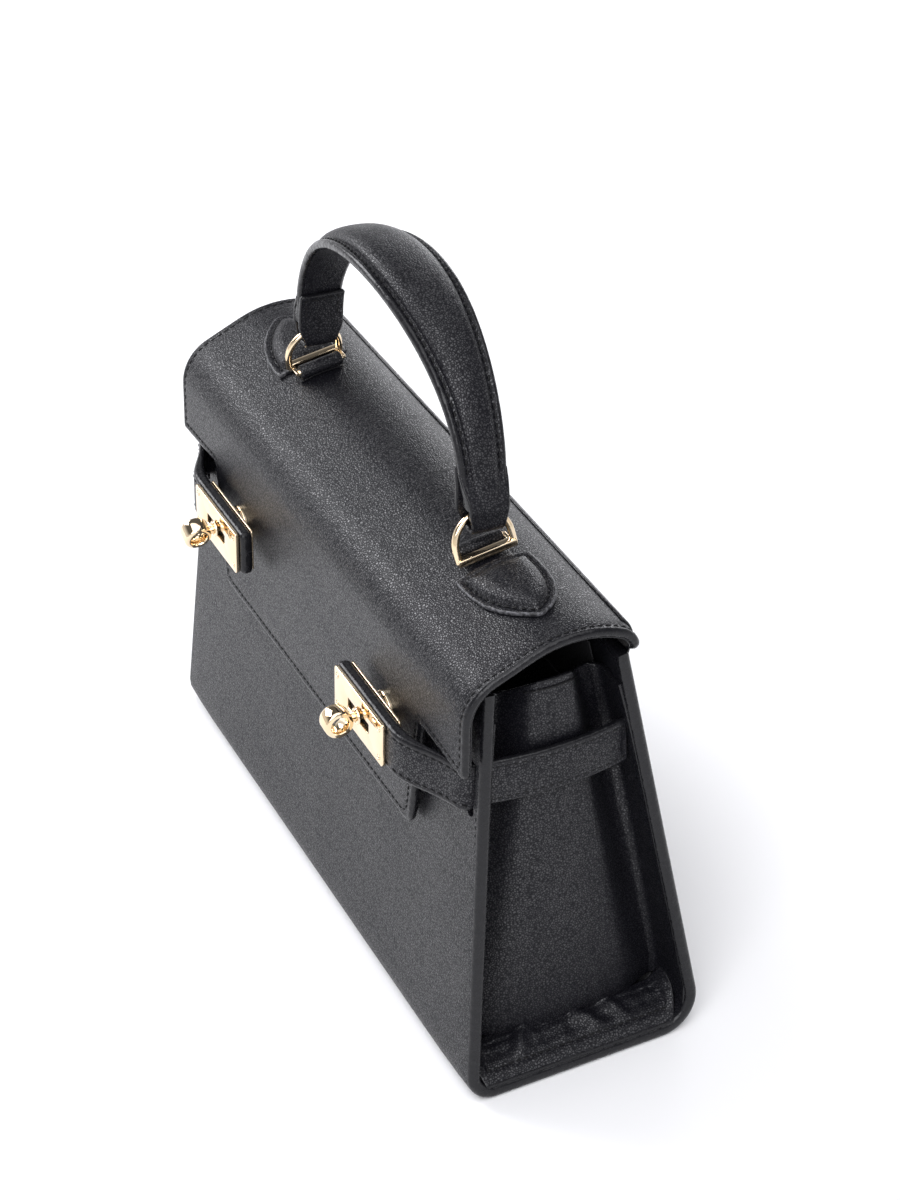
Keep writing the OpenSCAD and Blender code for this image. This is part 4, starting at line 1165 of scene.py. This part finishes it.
patch_s = flap_s_of_y(handle_y)
patch_stitches = bmesh.new()
for side, hand in both_sides:
    def patch_place(u, v, w, side=side):
        p, n = flap_course.at(patch_s + v)
        return Vector((side * u, p.x + n.x * (w + patch_t), p.y + n.y * (w + patch_t)))

    edge_line = [(patch_x, -14.2), (80, -14.8), (86, -14.9), (92, -14.1), (97.5, -12.4),
                 (102, -9.9), (105.2, -6.9), (106.9, -4), (107.3, -2.2), (106.6, -0.6),
                 (104.4, 1.8), (101.2, 4.8), (97, 7.6), (91.5, 10), (85, 11.5), (79, 12),
                 (patch_x, 12)]

    def shield(inset):
        """The patch's outline, set in: straight towards the ring, bellied sides, a blunt point."""
        ring_of = [Vector(p) for p in edge_line]
        points = []
        for before, here, after in zip(ring_of[-1:] + ring_of[:-1], ring_of,
                                       ring_of[1:] + ring_of[:1]):
            a, b = (here - before).normalized(), (after - here).normalized()
            inward = (Vector((-a.y, a.x)) + Vector((-b.y, b.x))).normalized()
            stretch = inset / max(0.5, inward.dot(Vector((-b.y, b.x))))
            points.append(tuple(here + inward * stretch - Vector((0, handle_y))))
        return points

    patch = lay_piece("ring_patch_leather_" + hand, cut_leather(
        shield(0), patch_t - 0.05, 0.6, steps(patch_x, 107, 0.7), steps(-14, 14, 0.7),
        groove_at=0), patch_place, "flap", "leather", [leather, scuffed_paint],
        groove_at=patch_stitch, groove=0.95, puff=2.0, reach=6, start=2.2)
    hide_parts("ring_patch_" + hand)
    sewn_loop = shield(patch_stitch)
    sew(patch_stitches, sewn_loop + sewn_loop[:1], patch_place, sunk=0.35)
    roll_mesh = bmesh.new()
    add_turned(roll_mesh, rod_profile(roll_r, roll_len, 0.7),
               Matrix.Translation((side * pin_x, handle_y, ring_z)) @ crown_tilt @ lay_along_y,
               32)
    strip_flat, sewn = cut_leather(
        [(pin_x - 1, -roll_len / 2), (patch_x + 2.5, -roll_len / 2),
         (patch_x + 2.5, roll_len / 2), (pin_x - 1, roll_len / 2)],
        0.95, 0.35, steps(pin_x - 1, patch_x + 2.5, 2), steps(-roll_len / 2, roll_len / 2, 2),
        groove_at=0)
    lay_leather(strip_flat, lambda u, v, w: patch_place(u, v, w - patch_t + 1.0), sewn, groove=0)
    pour_into(roll_mesh, strip_flat)
    roll = make_piece("ring_roll_leather_" + hand, roll_mesh, "flap",
                      [leather, edge_paint])
    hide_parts("ring_roll_" + hand)
make_piece("patch_stitches", patch_stitches, "flap", [thread])

# The turning straps: stitched double leather that comes out of its slot, bends towards the
# middle and thickens under the lock plate.
tip_t = 4.6
tip_inner_x, tip_mid_y = 42.05, -6.4
plate_face_y, tip_face_y, tip_back_y, magnet_y = -10.1, -8.7, -4.1, -3.3
lock_x = 63.4
lock_y = front_top.x - (front_top.y - strap_z) * math.tan(math.radians(flap_lean))


def lock_frame(side):
    """From the lock's own frame, leaning with the flap's front, to the bag's."""
    return mirror_of(side) @ Matrix.Translation((0, lock_y, strap_z)) @ turn_by(-flap_lean)


def curve_marks(a, b, c, d, count):
    """Marks along a cubic curve, with their directions on its outer side."""
    marks = []
    for k in range(count + 1):
        t = k / count
        p = a * (1 - t) ** 3 + b * 3 * t * (1 - t) ** 2 + c * 3 * t * t * (1 - t) + d * t ** 3
        run = (b - a) * (1 - t) ** 2 + (c - b) * 2 * t * (1 - t) + (d - c) * t * t
        marks.append((p, Vector((-run.y, run.x)).normalized()))
    return marks


root_r = 3.4
root_c = Vector((pivot_x - root_r, 6.7))
root_marks = bow(root_c, root_r, 0, -75, 10)
root_end, root_out = root_marks[-1]
root_run = Vector((root_out.y, -root_out.x))
strap_course = Course(
    [((pivot_x, 11.5), (1, 0))] + root_marks
    + curve_marks(root_end, root_end + root_run * 10, Vector((94, tip_mid_y)),
                  Vector((85, tip_mid_y)), 16)[1:]
    + [((tip_inner_x, tip_mid_y), (0, -1))])


def strap_thick(x):
    return strap_t + (tip_t - strap_t) * smooth((104 - x) / 17)


for side, hand in both_sides:
    to_bag = lock_frame(side)

    def strap_place(u, v, w, to_bag=to_bag):
        p, n = strap_course.at(v)
        far = strap_thick(p.x) * (w / tip_t + 0.5)
        return to_bag @ Vector((p.x + n.x * far, p.y + n.y * far, u))

    end_s, half = strap_course.length, strap_w / 2
    tip = lay_piece("strap_leather_" + hand, cut_leather(
        [(-half, 0), (half, 0), (half, end_s - 2), (half - 0.6, end_s - 0.6), (half - 2, end_s),
         (-half + 2, end_s), (-half + 0.6, end_s - 0.6), (-half, end_s - 2)],
        tip_t, 1.7, steps(-half, half, 4), steps(0, end_s, 1.6),
        lambda u, s: s < 1e-3, groove_at=strap_stitch),
        strap_place, None, groove_at=strap_stitch)
    rows_mesh = bmesh.new()
    for edge in (-1, 1):
        row_u = edge * (half - strap_stitch)
        sew(rows_mesh, [(row_u, 2), (row_u, end_s - 44)], strap_place)
    rows = make_piece("strap_stitches_" + hand, rows_mesh, None, [thread])
    for soft in (tip, rows):
        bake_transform(soft)
    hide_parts("strap_tip_" + hand)

# The locks: a front plate with a keyhole and a plain back plate, pressed from brass, plated and
# held by four small screws, and a turning toggle. A magnet under each plate meets a disc on the
# flap.
plate_l, plate_h, plate_t = 38.7, 16.1, 1.4
keyhole_l, keyhole_h = 17, 3.8
screw_inset = 2.6
toggle_r, toggle_hole_r, toggle_len, toggle_stand, stem_r = 5, 2.9, 6.6, 2.5, 1.7
flange_r, flange_t = 3.1, 0.8


def rounded_outline(length, height, radius, count=6):
    points = []
    for cx, cy, start in ((1, 1, 0), (-1, 1, 90), (-1, -1, 180), (1, -1, 270)):
        corner = Vector((cx * (length / 2 - radius), cy * (height / 2 - radius)))
        points += [corner + radius * toward(start + 90 * k / count) for k in range(count + 1)]
    return points


def pressed_plate(outlines, thick, ease):
    """A plate from its outline and its holes: filled, extruded and eased. It lies in XY."""
    bm = bmesh.new()
    edges = []
    for points in outlines:
        verts = [bm.verts.new((p.x, p.y, 0)) for p in points]
        edges += [bm.edges.new(pair) for pair in zip(verts, verts[1:] + verts[:1])]
    bmesh.ops.triangle_fill(bm, use_beauty=True, use_dissolve=False, edges=edges)
    ease_edges(bm, thicken(bm, thick), ease)
    return bm


face_out = turn_by(90)
disc_profile = [(0, 0.55), (2.0, 0.55), (2.3, 0.85), (2.8, 1.0), (3.3, 1.15), (5.4, 1.3),
                (6.1, 1.42), (6.4, 1.2), (6.5, 0.9), (6.5, 0.1), (6.4, 0), (0, 0)]
rim_line = rounded_outline(plate_l, plate_h, 1.2)
keyhole_line = rounded_outline(keyhole_l, keyhole_h, 0.5)
left_turn = -20
for side, hand in both_sides:
    to_bag = lock_frame(side)
    for name, outlines, thick, ease, at_y in (
            ("lock_plate_", [rim_line, keyhole_line], plate_t, 0.28, plate_face_y),
            ("back_plate_", [rim_line], 0.8, 0.2, tip_back_y)):
        plate = make_piece(
            name + "metal_" + hand, pressed_plate(outlines, thick, ease), "strap_" + hand,
            [gold],
            matrix=to_bag @ Matrix.Translation((lock_x, at_y, 0)) @ face_out)
        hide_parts(name + hand)
    screws_mesh = bmesh.new()
    for dx in (-1, 1):
        for dz in (-1, 1):
            at = (lock_x + dx * (plate_l / 2 - screw_inset), plate_face_y,
                  dz * (plate_h / 2 - screw_inset))
            screw_in = (to_bag @ Matrix.Translation(at) @ face_out
                        @ Matrix.Rotation(dx + dz * 0.6, 4, "Z"))
            add_turned(screws_mesh, [(0, 0.16), (0.72, 0.16), (0.78, 0.04), (0.92, 0.04),
                                     (0.98, 0.18), (1.12, 0.15), (1.18, -0.3), (0, -0.3)],
                       screw_in, 24)
            add_box(screws_mesh, (-0.66, -0.15, 0.1), (0.66, 0.15, 0.18), 0.02, screw_in)
            # Painted shade: the slot and the groove round each screw head take the dark edge paint
            # instead of gold, to stand for the shade in these hollows.
            for face in screws_mesh.faces:
                spot = screw_in.inverted() @ face.calc_center_median()
                in_groove = 0.8 < spot.xy.length < 0.9 and 0 < spot.z < 0.08
                in_slot = abs(spot.x) < 0.68 and abs(spot.y) < 0.16 and 0.165 < spot.z < 0.2
                if in_groove or in_slot:
                    face.material_index = 1
    screws = make_piece("screws_metal_" + hand, screws_mesh, "strap_" + hand,
                        [gold, edge_paint])
    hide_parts("plate_screws_" + hand)
    toggle_mesh = bmesh.new()
    tube_y = plate_face_y - toggle_stand - toggle_r
    half_wall = [(toggle_hole_r, 0.42), (toggle_hole_r + 0.35, 0.5), (toggle_r - 0.7, 0.5),
                 (toggle_r - 0.2, 0.44), (toggle_r, 0.34)]
    wall_profile = ([(r, -h * toggle_len) for r, h in half_wall]
                    + [(r, h * toggle_len) for r, h in reversed(half_wall)])
    add_turned(toggle_mesh, wall_profile, Matrix.Translation((0, tube_y, 0))
               @ turn_by(90, "Y"), 48, closed=True)
    foot = tip_face_y + 0.2 + flange_t
    head = tube_y + toggle_hole_r + 0.6
    face_h = foot - plate_face_y
    collar = [(stem_r, 0.1), (2.7, 0.15), (3.0, 0.5), (2.8, 0.95), (2.2, 1.05), (2.1, 0.8),
              (stem_r, 0.8)]
    stem = ([(0, 0), (flange_r, 0), (flange_r, flange_t), (stem_r, flange_t)]
            + [(r, face_h + h) for r, h in collar] + [(stem_r, foot - head), (0, foot - head)])
    add_turned(toggle_mesh, stem, Matrix.Translation((0, foot, 0)) @ face_out, 32)
    toggle = make_piece("toggle_metal_" + hand, toggle_mesh, "toggle_" + hand,
                        [gold], matrix=to_bag @ Matrix.Translation((lock_x, 0, 0))
                        @ turn_by(left_turn if side < 0 else 0, "Y"))
    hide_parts("toggle_" + hand)
    for name, node, body, at_y, flip in (
            ("snap_disc_metal_", "snap_disc_", "flap", 0, face_out),
            ("snap_magnet_metal_", "snap_magnet_", "strap_" + hand, magnet_y, turn_by(-90))):
        disc_mesh = bmesh.new()
        add_turned(disc_mesh, disc_profile, to_bag @ Matrix.Translation((lock_x, at_y, 0))
                   @ flip, 40)
        slot_name = "magnet" if "magnet" in name else "hardware"
        disc = make_piece(name + hand, disc_mesh, body, [gold])
        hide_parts(node + hand)
